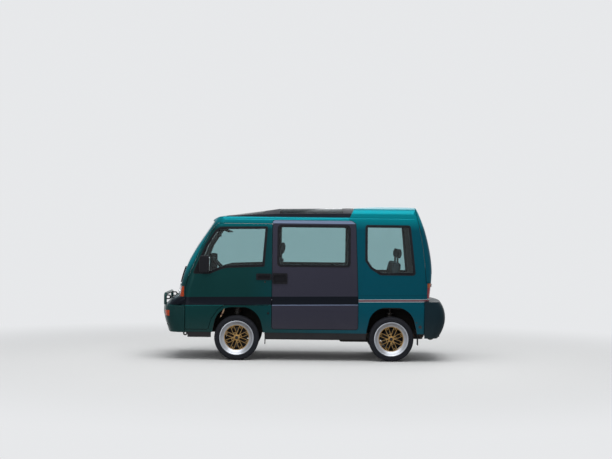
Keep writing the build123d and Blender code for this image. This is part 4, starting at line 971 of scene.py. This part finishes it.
for part, maker, finish, places in (
        ("brakeDisc", makeDisc, "brakeSteel", wheelPlaces[:2]),
        ("brakeCaliper", makeCaliper, "castIron", wheelPlaces[:2]),
        ("brakeDrum", makeDrum, "castIron", wheelPlaces[2:])):
    master = meshFrom(maker(brakeLook), part, 34.0)
    for name in places:
        mesh = atAxle(master, name)
        carrier = "front_knuckle_" + name.split("_")[1] if "front" in name else "rear_suspension"
        finishPiece(part + "_" + name, mesh, finish, bodyOf[carrier])
print("brakes made")


# Wheel-arch liners: a sheet that follows the arch inwards and a wall behind the wheel

archLook = {
    "outerY": -0.664,
    "innerY": -0.398,
    "thickness": 0.003,
    "front": ((-1.1235, 0.345), (-1.0995, 0.470), (-1.0680, 0.540), (-1.0250, 0.596), (-0.9650, 0.637),
              (-0.8845, 0.653), (-0.7225, 0.653), (-0.6520, 0.634), (-0.5900, 0.588), (-0.5480, 0.530),
              (-0.5180, 0.452), (-0.4905, 0.345)),
    "rear": ((0.7565, 0.378), (0.7775, 0.476), (0.8040, 0.546), (0.8370, 0.598), (0.8950, 0.644),
             (0.9825, 0.663), (1.1625, 0.663), (1.2250, 0.640), (1.2880, 0.596), (1.3220, 0.548),
             (1.3505, 0.474), (1.3725, 0.378)),
}

# A bent strip of rusty steel that hangs loose from the lip of the front arch, on the left only
strapLook = {
    "line": ((-0.996, 0.666), (-0.986, 0.640), (-0.990, 0.606), (-1.005, 0.570), (-1.023, 0.536),
             (-1.030, 0.514)),
    "y": -0.678,
    "shift": (0.022, 0.005, 0.008),
    "thickness": 0.0045,
}


def sheetShape(points, y, shift, thickness, wall=False):
    # A sheet drawn by one shift from a line of (x, z) points, and a wall that closes its far edge
    shape = bmesh.new()
    line = [shape.verts.new((x, y, z)) for x, z in points]
    edges = [shape.edges.new(pair) for pair in zip(line, line[1:])]
    drawn = grownVerts(bmesh.ops.extrude_edge_only(shape, edges=edges))
    bmesh.ops.translate(shape, vec=shift, verts=drawn)
    if wall:
        drawn.sort(key=lambda vert: vert.co.x)
        bmesh.ops.contextual_create(shape, geom=drawn)
    bmesh.ops.recalc_face_normals(shape, faces=shape.faces)
    bmesh.ops.solidify(shape, geom=shape.faces[:], thickness=thickness)
    return shape


inward = (0, archLook["innerY"] - archLook["outerY"], 0)
for archEnd in ("front", "rear"):
    shape = sheetShape(archLook[archEnd], archLook["outerY"], inward, archLook["thickness"], True)
    addPair(archEnd + "ArchLiner", shape, "archLiner", "root", 40.0)
shape = sheetShape(strapLook["line"], strapLook["y"], strapLook["shift"], strapLook["thickness"])
refine(addShape("archStrap", shape, "strapSteel", "root", sharpAngle=60.0), 2)
print("arch liners made")


# Small pieces that sit on the panels: some are laid on the skin of the node that carries them, the others
# stand at given places

def skinTree(node):
    mesh = frame["nodes"][node].data
    return BVHTree.FromPolygons([vert.co for vert in mesh.vertices],
                                [face.vertices[:] for face in mesh.polygons])


def seatOn(tree, start, aim):
    # Where a line meets the skin, and which way the skin faces there
    spot, normal = tree.ray_cast(Vector(start), Vector(aim))[:2]
    if spot is None:
        raise RuntimeError("no skin under " + str(start))
    return spot, normal if normal.dot(Vector(aim)) < 0 else -normal


def drapedPanel(node, start, aim, across, up, size, thickness, corner):
    # A rounded plate bent to the skin that it lies on. across and up are its own two directions
    tree = skinTree(node)
    shape = bmesh.new()
    bmesh.ops.create_grid(shape, x_segments=14, y_segments=8, size=0.5)
    across, up, aim = Vector(across), Vector(up), Vector(aim)
    for vert in shape.verts:
        u, v = vert.co.x * size[0], vert.co.y * size[1]
        overU, overV = abs(u) - (size[0] / 2 - corner), abs(v) - (size[1] / 2 - corner)
        if overU > 0 and overV > 0:
            reach = math.hypot(overU, overV)
            if reach > corner:
                u -= math.copysign(overU * (1 - corner / reach), u)
                v -= math.copysign(overV * (1 - corner / reach), v)
        vert.co = seatOn(tree, Vector(start) + across * u + up * v, aim)[0]
    grown = bmesh.ops.extrude_face_region(shape, geom=shape.faces[:])
    bmesh.ops.translate(shape, vec=-aim * thickness, verts=grownVerts(grown))
    rim = [edge for edge in shape.edges if len(edge.link_faces) == 2 and edge.calc_face_angle(0.0) > 1.0]
    softenEdges(shape, rim, min(0.0012, thickness * 0.35))
    return shape


def seatOnSide(node, place):
    # The spot on a left-hand panel at this (x, z)
    return seatOn(skinTree(node), (place[0], -2, place[1]), (0, 1, 0))


panelLook = {
    "lockPlace": (-0.482, 0.957),
    "lockRings": ((0.0105, 0.0035, 28), (0.0070, 0.0048, 28)),
    "plugPlace": (-0.440, 0.575),
    "plugSize": (0.0145, 0.0030, 28),
    "sunk": 0.0005,
    "flapPlace": (0.86, 0.875),
    "flapSize": (0.145, 0.155),
    "flapThickness": 0.0016,
    "flapCorner": 0.022,
}

shape = bmesh.new()
spot, normal = seatOnSide("front_door_left", panelLook["lockPlace"])
for ring in panelLook["lockRings"]:
    joinShapes(shape, stand(boltHead(*ring), spot - normal * panelLook["sunk"], normal))
addPair("doorLock", shape, "steel", pairBody("front_door_left"))

spot, normal = seatOnSide("body_side_left", panelLook["plugPlace"])
shape = stand(boltHead(*panelLook["plugSize"]), spot - normal * panelLook["sunk"], normal)
addPair("sidePlug", shape, "blackRubber", "root")

x, z = panelLook["flapPlace"]
shape = drapedPanel("body_side_right", (x, 2, z), (0, -1, 0), (1, 0, 0), (0, 0, 1), panelLook["flapSize"],
                    panelLook["flapThickness"], panelLook["flapCorner"])
addShape("fuelFlap", shape, "bodyPaint", bodyOf["body_side_right"])

# Blank number plates, each on two bolts
plateLook = {
    "plates": (
        # name, node, which way along X the skin is met, height, size
        ("frontPlate", "front_bumper", 1, 0.590, (0.52, 0.112)),
        ("rearPlate", "tailgate", -1, 0.831, (0.50, 0.106)),
    ),
    "thickness": 0.0022,
    "corner": 0.012,
    "boltPlaces": (-0.20, 0.20),
    "boltSize": (0.007, 0.0038, 20),
    "outside": 3,
}
for name, node, way, z, size in plateLook["plates"]:
    start = (-plateLook["outside"] * way, 0, z)
    shape = drapedPanel(node, start, (way, 0, 0), (0, -way, 0), (0, 0, 1), size, plateLook["thickness"],
                        plateLook["corner"])
    addShape(name, shape, "plainPlate", bodyOf[node])
for name, node, way, z, size in plateLook["plates"]:
    tree = skinTree(node)
    shape = bmesh.new()
    for y in plateLook["boltPlaces"]:
        spot, normal = seatOn(tree, (-plateLook["outside"] * way, y, z), (way, 0, 0))
        joinShapes(shape, stand(boltHead(*plateLook["boltSize"]), spot, normal))
    addShape(name + "Bolts", shape, "brightMetal", bodyOf[node])

# Mirror glass in the rear face of each door mirror
mirrorLook = {"size": (0.004, 0.118, 0.176), "corner": 0.026, "place": (-1.1535, -0.792, 1.168)}
shape = blockShape(mirrorLook["size"])
corners = [edge for edge in shape.edges if abs(edge.verts[0].co.x - edge.verts[1].co.x) > 0.003]
softenEdges(shape, corners, mirrorLook["corner"], 6)
moveShape(shape, mirrorLook["place"])
addPair("mirrorPane", shape, "mirrorGlass", pairBody("door_mirror_left"))

# Bulbs in the headlamp bowls
bulbLook = {
    "places": ((-1.569, 0.435), (-1.553, 0.548)),
    "z": 0.830,
    "behind": 0.058,
    "profile": ((0.0005, -0.050), (0.006, -0.048), (0.010, -0.040), (0.0105, -0.028), (0.008, -0.016),
                (0.012, -0.014), (0.016, -0.006), (0.017, 0.004), (0.0005, 0.006)),
}
shape = bmesh.new()
for x, y in bulbLook["places"]:
    bulb = latheShape(bulbLook["profile"], 28)
    turnShape(bulb, -90, "Z")
    moveShape(bulb, (x + bulbLook["behind"], -y, bulbLook["z"]))
    joinShapes(shape, bulb)
addPair("headlampBulbs", shape, "lampBowl", "root")

# Bolts along the top of the mud flaps, on both faces
flapLook = {
    "middles": (-0.4775, 1.3875),
    "boltPlaces": (-0.655, -0.6075, -0.560),
    "boltZ": 0.322,
    "boltSize": (0.007, 0.004),
    "halfThickness": 0.004,
}
shape = bmesh.new()
for x in flapLook["middles"]:
    for y in flapLook["boltPlaces"]:
        for way in (-1, 1):
            spot = Vector((x + way * flapLook["halfThickness"], y, flapLook["boltZ"]))
            joinShapes(shape, stand(boltHead(*flapLook["boltSize"]), spot, Vector((way, 0, 0))))
addPair("flapBolts", shape, "steel", "root")
print("panel pieces made")


# Seats: each kind of cushion is swollen once by a cloth simulation, sewn, and then copied to its places

seatLook = {
    "grid": 0.013,
    "frames": 20,
    "pressure": 4.0,
    "cap": 0.008,
    "drawIn": 0.6,
    "edge": 0.26,
    "seamWide": 0.0060,
    "seamDeep": 0.0070,
    "seamShadeStrength": 1.4,
    "flatFace": 0.35,
    "quality": 4,
    "mass": 0.2,
    "cushions": {
        # size, sewn channels across and along, how far in from the sides the border seam runs
        "front": ((0.47, 0.44, 0.140), (-0.115, 0.115), (-0.02,), 0.055),
        "frontBack": ((0.095, 0.42, 0.530), (-0.110, 0.110), (0.08,), 0.050),
        "frontRest": ((0.060, 0.22, 0.145), (), (), 0.028),
        "rear": ((0.47, 0.55, 0.140), (-0.14, 0.14), (-0.02,), 0.055),
        "rearBack": ((0.095, 0.55, 0.500), (-0.14, 0.14), (0.08,), 0.050),
        "rearRest": ((0.052, 0.42, 0.125), (), (), 0.026),
        "middle": ((0.42, 1.00, 0.300), (-0.25, 0.0, 0.25), (-0.02,), 0.060),
        "middleBack": ((0.080, 1.00, 0.230), (-0.25, 0.0, 0.25), (), 0.045),
    },
    "places": (
        # name, cushion, place, lean, node, finish; the front and rear ones stand at both sides
        ("frontCushion", "front", (-0.705, 0.34, 0.752), -3.0, "front_seats", "seatCloth"),
        ("frontBack", "frontBack", (-0.372, 0.34, 0.985), 13.0, "front_seats", "seatCloth"),
        ("frontRest", "frontRest", (-0.284, 0.34, 1.362), 4.0, "front_seats", "seatSide"),
        ("rearCushion", "rear", (0.775, 0.30, 0.752), -3.0, "rear_bench", "seatCloth"),
        ("rearBack", "rearBack", (1.092, 0.30, 0.970), 12.0, "rear_bench", "seatCloth"),
        ("rearRest", "rearRest", (1.170, 0.24, 1.312), 4.0, "rear_bench", "seatSide"),
        ("middleCushion", "middle", (0.190, 0.0, 0.605), 0.0, "middle_bench", "seatCloth"),
        ("middleBack", "middleBack", (0.408, 0.0, 0.745), 4.0, "middle_bench", "seatSide"),
    ),
}


def bakedMesh(piece, name):
    # The mesh as its modifiers leave it at this frame
    graph = bpy.context.evaluated_depsgraph_get()
    return bpy.data.meshes.new_from_object(piece.evaluated_get(graph), preserve_all_data_layers=True,
                                           depsgraph=graph)


def swellCushion(name, size, look):
    # A closed block with rounded edges, remeshed evenly and blown up from inside like a stuffed cover
    shape = blockShape([side - 2 * look["cap"] * look["drawIn"] for side in size])
    softenEdges(shape, shape.edges[:], min(size) * look["edge"], 3)
    piece = addObject(name, meshFrom(shape, name, 180.0))
    remesh = piece.modifiers.new("evenGrid", "REMESH")
    remesh.mode = "VOXEL"
    remesh.voxel_size = look["grid"]
    flat = bakedMesh(piece, name + "Flat")
    piece.modifiers.clear()
    piece.data = flat
    rest = [vert.co.copy() for vert in flat.vertices]
    cloth = piece.modifiers.new("cover", "CLOTH")
    cloth.settings.quality = look["quality"]
    cloth.settings.mass = look["mass"]
    cloth.settings.use_pressure = True
    cloth.settings.uniform_pressure_force = look["pressure"]
    cloth.settings.effector_weights.gravity = 0.0
    cloth.point_cache.frame_start = 1
    cloth.point_cache.frame_end = look["frames"]
    for step in range(1, look["frames"] + 1):
        bpy.context.scene.frame_set(step)
    blown = bakedMesh(piece, name + "Blown")
    piece.modifiers.clear()
    for vert, start in zip(blown.vertices, rest):
        move = vert.co - start
        if move.length > look["cap"]:
            vert.co = start + move * (look["cap"] / move.length)
    piece.data = blown
    bpy.context.scene.frame_set(1)
    refine(piece, 1)
    result = bakedMesh(piece, name + "Cover")
    bpy.data.objects.remove(piece)
    return result


def sewCushion(mesh, size, across, along, border, look):
    # Draws the cover in along its channels and its border, and marks the painted shade along the stitching
    # for the cloth finish
    seamShadeLayer = mesh.attributes.new("seam", "FLOAT", "POINT")
    thin = size.index(min(size))
    length = 0 if thin == 2 else 2
    normals = [vert.normal.copy() for vert in mesh.vertices]
    for vert, normal in zip(mesh.vertices, normals):
        gaps = []
        if abs(normal[thin]) > look["flatFace"]:
            gaps += [abs(vert.co.y - place) for place in across]
            gaps += [abs(vert.co[length] - place) for place in along]
        inY = size[1] / 2 - border - abs(vert.co.y)
        inLength = size[length] / 2 - border - abs(vert.co[length])
        edge = min(inY, inLength)
        gaps.append(abs(edge))
        if edge < 0:
            gaps = [abs(edge)]
        nearest = min(gaps) / look["seamWide"]
        pull = math.exp(-nearest * nearest)
        vert.co -= normal * (pull * look["seamDeep"])
        seamShadeLayer.data[vert.index].value = min(1.0, pull * look["seamShadeStrength"])
    mesh.update()


covers = {}
for name, (size, across, along, border) in seatLook["cushions"].items():
    covers[name] = swellCushion(name, size, seatLook)
    sewCushion(covers[name], size, across, along, border, seatLook)
print("cushions swollen:", len(covers))

for name, kind, spot, lean, node, finish in seatLook["places"]:
    for side, way in (("Left", -1), ("Right", 1)) if spot[1] else (("", 1),):
        mesh = covers[kind].copy()
        turn = Matrix.Rotation(radians(lean), 4, "Y")
        mesh.transform(Matrix.Translation((spot[0], spot[1] * way, spot[2])) @ turn)
        piece = finishPiece(name + side, mesh, finish, "root", (node,))
print("seats made")

# Posts of the headrests and feet of the front seats
frameLook = {
    # x, y, lowest and highest point
    "posts": ((-0.300, 0.30, 1.215, 1.300), (-0.300, 0.38, 1.215, 1.300), (1.158, 0.15, 1.170, 1.260),
              (1.158, 0.33, 1.170, 1.260)),
    "postRadius": 0.006,
    "feet": ((-0.90, 0.17), (-0.90, 0.51), (-0.52, 0.17), (-0.52, 0.51)),
    "footSize": (0.05, 0.03),
    "footTop": 0.690,
    "footLow": 0.642,
    "footEdge": 0.004,
}
shape = bmesh.new()
for x, y, low, high in frameLook["posts"]:
    post = coneShape(16, frameLook["postRadius"], frameLook["postRadius"], high - low)
    moveShape(post, (x, -y, (low + high) / 2))
    joinShapes(shape, post)
low, high = frameLook["footLow"], frameLook["footTop"]
for x, y in frameLook["feet"]:
    foot = blockShape((*frameLook["footSize"], high - low))
    softenEdges(foot, foot.edges[:], frameLook["footEdge"])
    moveShape(foot, (x, -y, (high + low) / 2))
    joinShapes(shape, foot)
addPair("seatFrames", shape, "steel", "root")
print("seat frames made")


# Cabin: what is seen on and round the dashboard

cabinLook = {
    # middle and size, and for the visors how far they lean
    "dials": ((-1.1985, -0.340, 1.012), (0.006, 0.250, 0.072)),
    "dialLean": 6.0,
    # y and radius of each dial
    "dialPlaces": ((-0.395, 0.030), (-0.320, 0.030), (-0.262, 0.018)),
    "blocks": (
        ((-1.188, 0.030, 0.955), (0.016, 0.180, 0.052)),
        ((-1.186, 0.030, 0.895), (0.014, 0.180, 0.050)),
        ((-1.190, -0.085, 0.955), (0.014, 0.034, 0.052)),
        ((-1.190, 0.145, 0.955), (0.014, 0.034, 0.052)),
        ((-1.190, 0.360, 0.965), (0.014, 0.330, 0.014)),
        ((-1.186, 0.360, 0.900), (0.010, 0.330, 0.090)),
    ),
    "visors": ((-1.005, 0.31, 1.585), (0.150, 0.36, 0.014), 22.0),
    "innerMirror": ((-1.075, 0.0, 1.525), (0.022, 0.230, 0.060)),
    # foot, length and radius
    "lever": ((-0.800, 0.0, 0.645), 0.235, 0.007),
    "brake": ((-0.640, 0.075, 0.690), 0.190, 0.010),
    "brakeBase": (0.070, 0.036, 0.052),
    "boot": ((0.0005, 0.0), (0.050, 0.0), (0.044, -0.018), (0.026, -0.045), (0.012, -0.075),
             (0.0005, -0.080)),
    "knobRadius": 0.024,
    "knobRise": 0.012,
    "leverLean": 0.02,
    "brakeRise": 0.055,
}


def softBlock(middle, size, edge, lean=0.0):
    # A box with rounded edges
    shape = blockShape(size)
    softenEdges(shape, shape.edges[:], edge, 3)
    turnShape(shape, lean, "Y")
    moveShape(shape, middle)
    return shape


def rodShape(start, end, radius, sides=16):
    # A round rod between two points
    run = Vector(end) - Vector(start)
    shape = coneShape(sides, radius, radius, run.length)
    turn = run.to_track_quat("Z", "Y").to_matrix().to_4x4()
    middle = (Vector(start) + Vector(end)) / 2
    bmesh.ops.transform(shape, matrix=Matrix.Translation(middle) @ turn, verts=shape.verts)
    return shape


shape = bmesh.new()
for middle, size in cabinLook["blocks"]:
    joinShapes(shape, softBlock(middle, size, 0.004))
addShape("dashBlocks", shape, "blackPlastic", "root")

middle, size = cabinLook["dials"]
shape = softBlock(middle, size, 0.0025, cabinLook["dialLean"])
for y, radius in cabinLook["dialPlaces"]:
    ring = latheShape(((radius - 0.004, -0.006), (radius, -0.006), (radius + 0.001, -0.001),
                       (radius - 0.004, -0.001)), 40)
    turnShape(ring, 90, "Z")
    moveShape(ring, (middle[0] + 0.002, y, middle[2]))
    joinShapes(shape, ring)
addShape("dashDials", shape, "blackRubber", "root")

middle, size, lean = cabinLook["visors"]
shape = softBlock((middle[0], -middle[1], middle[2]), size, 0.006, lean)
addPair("sunVisor", shape, "cabinPlastic", "root")

middle, size = cabinLook["innerMirror"]
shape = softBlock(middle, size, 0.009)
joinShapes(shape, rodShape(middle, (middle[0] - 0.045, middle[1], middle[2] + 0.065), 0.007))
addShape("innerMirror", shape, "blackPlastic", "root")

# The gear lever in its boot, and the hand brake
foot, tall, radius = cabinLook["lever"]
shape = latheShape(cabinLook["boot"], 28)
turnShape(shape, -90, "X")
moveShape(shape, foot)
tip = Vector(foot) + Vector((cabinLook["leverLean"], 0, tall))
joinShapes(shape, rodShape(foot, tip, radius))
knob = bmesh.new()
bmesh.ops.create_uvsphere(knob, u_segments=24, v_segments=16, radius=cabinLook["knobRadius"])
moveShape(knob, tip + Vector((0, 0, cabinLook["knobRise"])))
joinShapes(shape, knob)
foot, long, radius = cabinLook["brake"]
joinShapes(shape, rodShape(foot, (foot[0] - long * 0.96, foot[1], foot[2] + cabinLook["brakeRise"]),
                           radius))
joinShapes(shape, softBlock((foot[0] + 0.01, foot[1], foot[2] - 0.022), cabinLook["brakeBase"], 0.006))
addShape("floorLevers", shape, "blackRubber", "root")

# Door cards on the inner faces of the front doors, each with an arm rest, a pocket and a window crank
cardLook = {
    "middle": (-0.790, 0.870),
    "size": (0.600, 0.300),
    "thickness": 0.006,
    "corner": 0.030,
    "armRest": ((-0.800, -0.618, 0.905), (0.300, 0.046, 0.048)),
    "pocket": ((-0.760, -0.630, 0.765), (0.340, 0.022, 0.070)),
    "crank": ((-1.010, -0.628, 0.870), 0.016, 0.085),
}
x, z = cardLook["middle"]
shape = drapedPanel("front_door_left", (x, -0.45, z), (0, -1, 0), (1, 0, 0), (0, 0, 1), cardLook["size"],
                    cardLook["thickness"], cardLook["corner"])
addPair("doorCard", shape, "cabinPlastic", pairBody("front_door_left"))

shape = bmesh.new()
for middle, size in (cardLook["armRest"], cardLook["pocket"]):
    joinShapes(shape, softBlock(middle, size, 0.008))
# The crank's boss, arm and knob: each rod's two ends from the middle, its radius and its sides
middle, radius, reach = cardLook["crank"]
for first, last, thick, sides in (
        ((0, 0, 0), (0, 0.022, 0), radius, 24),
        ((0, 0.018, 0), (reach, 0.018, -0.030), 0.006, 16),
        ((reach, 0.014, -0.030), (reach, 0.040, -0.030), 0.010, 16)):
    joinShapes(shape, rodShape(Vector(middle) + Vector(first), Vector(middle) + Vector(last), thick, sides))
addPair("doorFittings", shape, "blackPlastic", pairBody("front_door_left"))
print("cabin pieces made")


# Steering wheel

steeringLook = {
    "centre": (-1.025, -0.34, 1.097),
    "tilt": 48.6,
    "radius": 0.172,
    "grip": 0.0125,
    "gripSides": 12,
    "rise": 0.011,
    "hub": ((0.0008, -0.022), (0.036, -0.021), (0.046, -0.014), (0.048, 0.0), (0.0008, 0.0)),
    "spokes": (30, 150, 270),
    # width, depth, y and taper
    "spokeBar": (0.028, 0.009, -0.010, 0.7),
}


def makeSteeringWheel(look):
    grip = []
    for side in range(look["gripSides"]):
        angle = 2 * pi * side / look["gripSides"]
        grip.append((look["radius"] + look["grip"] * cos(angle),
                     -(look["rise"] + look["grip"] * sin(angle))))
    shape = bmesh.new()
    joinShapes(shape, latheShape(grip, 64))
    joinShapes(shape, latheShape(look["hub"], 40))
    for angle in look["spokes"]:
        joinShapes(shape, barShape(around(0.03, angle), around(look["radius"], angle), *look["spokeBar"]))
    turnShape(shape, -90, "X")
    turnShape(shape, look["tilt"], "Y")
    moveShape(shape, look["centre"])
    return shape


addShape("steeringRim", makeSteeringWheel(steeringLook), "blackPlastic", "steering_wheel",
         ("steering_wheel",), 34.0)
print("steering wheel made")


# Studio

studioLook = {
    "cameraPlace": (0.010, -17.707, 1.600),
    "lens": 82.2,
    "roll": -0.62,
    "clipEnd": 300.0,
    "floorSize": 60.0,
    "floorColour": (0.66, 0.66, 0.655, 1),
    "skyColour": (0.80, 0.81, 0.825, 1),
    "skyLight": 0.42,
    "skyLightColour": (0.93, 0.96, 1.0, 1),
    "fadeStart": 2.6,
    "fadeEnd": 7.0,
    "lamps": (
        # name, place, aim, size, power
        ("overhead", (0.0, -1.5, 7.5), (0.0, 0.0, 0.8), 8.0, 560.0),
        ("camSide", (-5.0, -11.0, 4.0), (0.0, 0.0, 0.9), 6.0, 190.0),
        ("farSide", (3.0, 10.0, 5.0), (0.0, 0.0, 0.8), 6.0, 190.0),
    ),
}


def seenRays(tree):
    # 1 for what the eye, a mirror or a pane sees, 0 for light on the object
    rays = place(tree, "ShaderNodeLightPath")
    first = calc(tree, "MAXIMUM", rays.outputs["Is Camera Ray"], rays.outputs["Is Glossy Ray"])
    return calc(tree, "MAXIMUM", first, rays.outputs["Is Transmission Ray"])


def makeFloor(look):
    # A matt floor that fades into the backdrop's colour away from the object
    shape = bmesh.new()
    bmesh.ops.create_grid(shape, x_segments=1, y_segments=1, size=look["floorSize"])
    floor = addObject("studioFloor", meshFrom(shape, "studioFloor"))
    material, tree, shader = startFinish("floorMatt", Base_Color=look["floorColour"], Roughness=0.9,
                                         Specular_IOR_Level=0.2)
    x, y, z = splitCoords(tree)
    away = calc(tree, "SQRT", plus(tree, times(tree, x, x), times(tree, y, y)))
    ramp = place(tree, "ShaderNodeMapRange", interpolation_type="SMOOTHSTEP")
    wire(tree, ramp, Value=away)
    ramp.inputs["From Min"].default_value = look["fadeStart"]
    ramp.inputs["From Max"].default_value = look["fadeEnd"]
    glow = place(tree, "ShaderNodeEmission")
    glow.inputs["Color"].default_value = look["skyColour"]
    chooser = place(tree, "ShaderNodeMixShader")
    tree.links.new(times(tree, ramp.outputs["Result"], seenRays(tree)), chooser.inputs[0])
    tree.links.new(shader.outputs[0], chooser.inputs[1])
    tree.links.new(glow.outputs[0], chooser.inputs[2])
    tree.links.new(chooser.outputs[0], tree.nodes["Material Output"].inputs["Surface"])
    floor.data.materials.append(material)


def makeStudio(look):
    makeFloor(look)
    for name, spot, aim, size, power in look["lamps"]:
        lamp = bpy.data.lights.new(name, "AREA")
        lamp.shape = "SQUARE"
        lamp.size = size
        lamp.energy = power
        holder = addObject(name, lamp)
        holder.location = spot
        holder.rotation_euler = (Vector(aim) - Vector(spot)).to_track_quat("-Z", "Y").to_euler()
    world = bpy.data.worlds.new("studioSky")
    world.use_nodes = True
    bpy.context.scene.world = world
    sky = world.node_tree
    light = sky.nodes["Background"]
    light.inputs["Color"].default_value = look["skyLightColour"]
    light.inputs["Strength"].default_value = look["skyLight"]
    seen = place(sky, "ShaderNodeBackground")
    seen.inputs["Color"].default_value = look["skyColour"]
    chooser = place(sky, "ShaderNodeMixShader")
    sky.links.new(seenRays(sky), chooser.inputs[0])
    sky.links.new(light.outputs[0], chooser.inputs[1])
    sky.links.new(seen.outputs[0], chooser.inputs[2])
    sky.links.new(chooser.outputs[0], sky.nodes["World Output"].inputs["Surface"])


def makeCamera(look):
    camera = bpy.data.cameras.new("photoCamera")
    camera.lens = look["lens"]
    camera.sensor_width = 36.0
    camera.clip_end = look["clipEnd"]
    holder = addObject("photoCamera", camera)
    holder.location = look["cameraPlace"]
    holder.rotation_euler = (radians(90), radians(look["roll"]), 0)
    bpy.context.scene.camera = holder


makeStudio(studioLook)
makeCamera(studioLook)
bpy.context.scene.view_settings.view_transform = "Standard"
print("studio made")
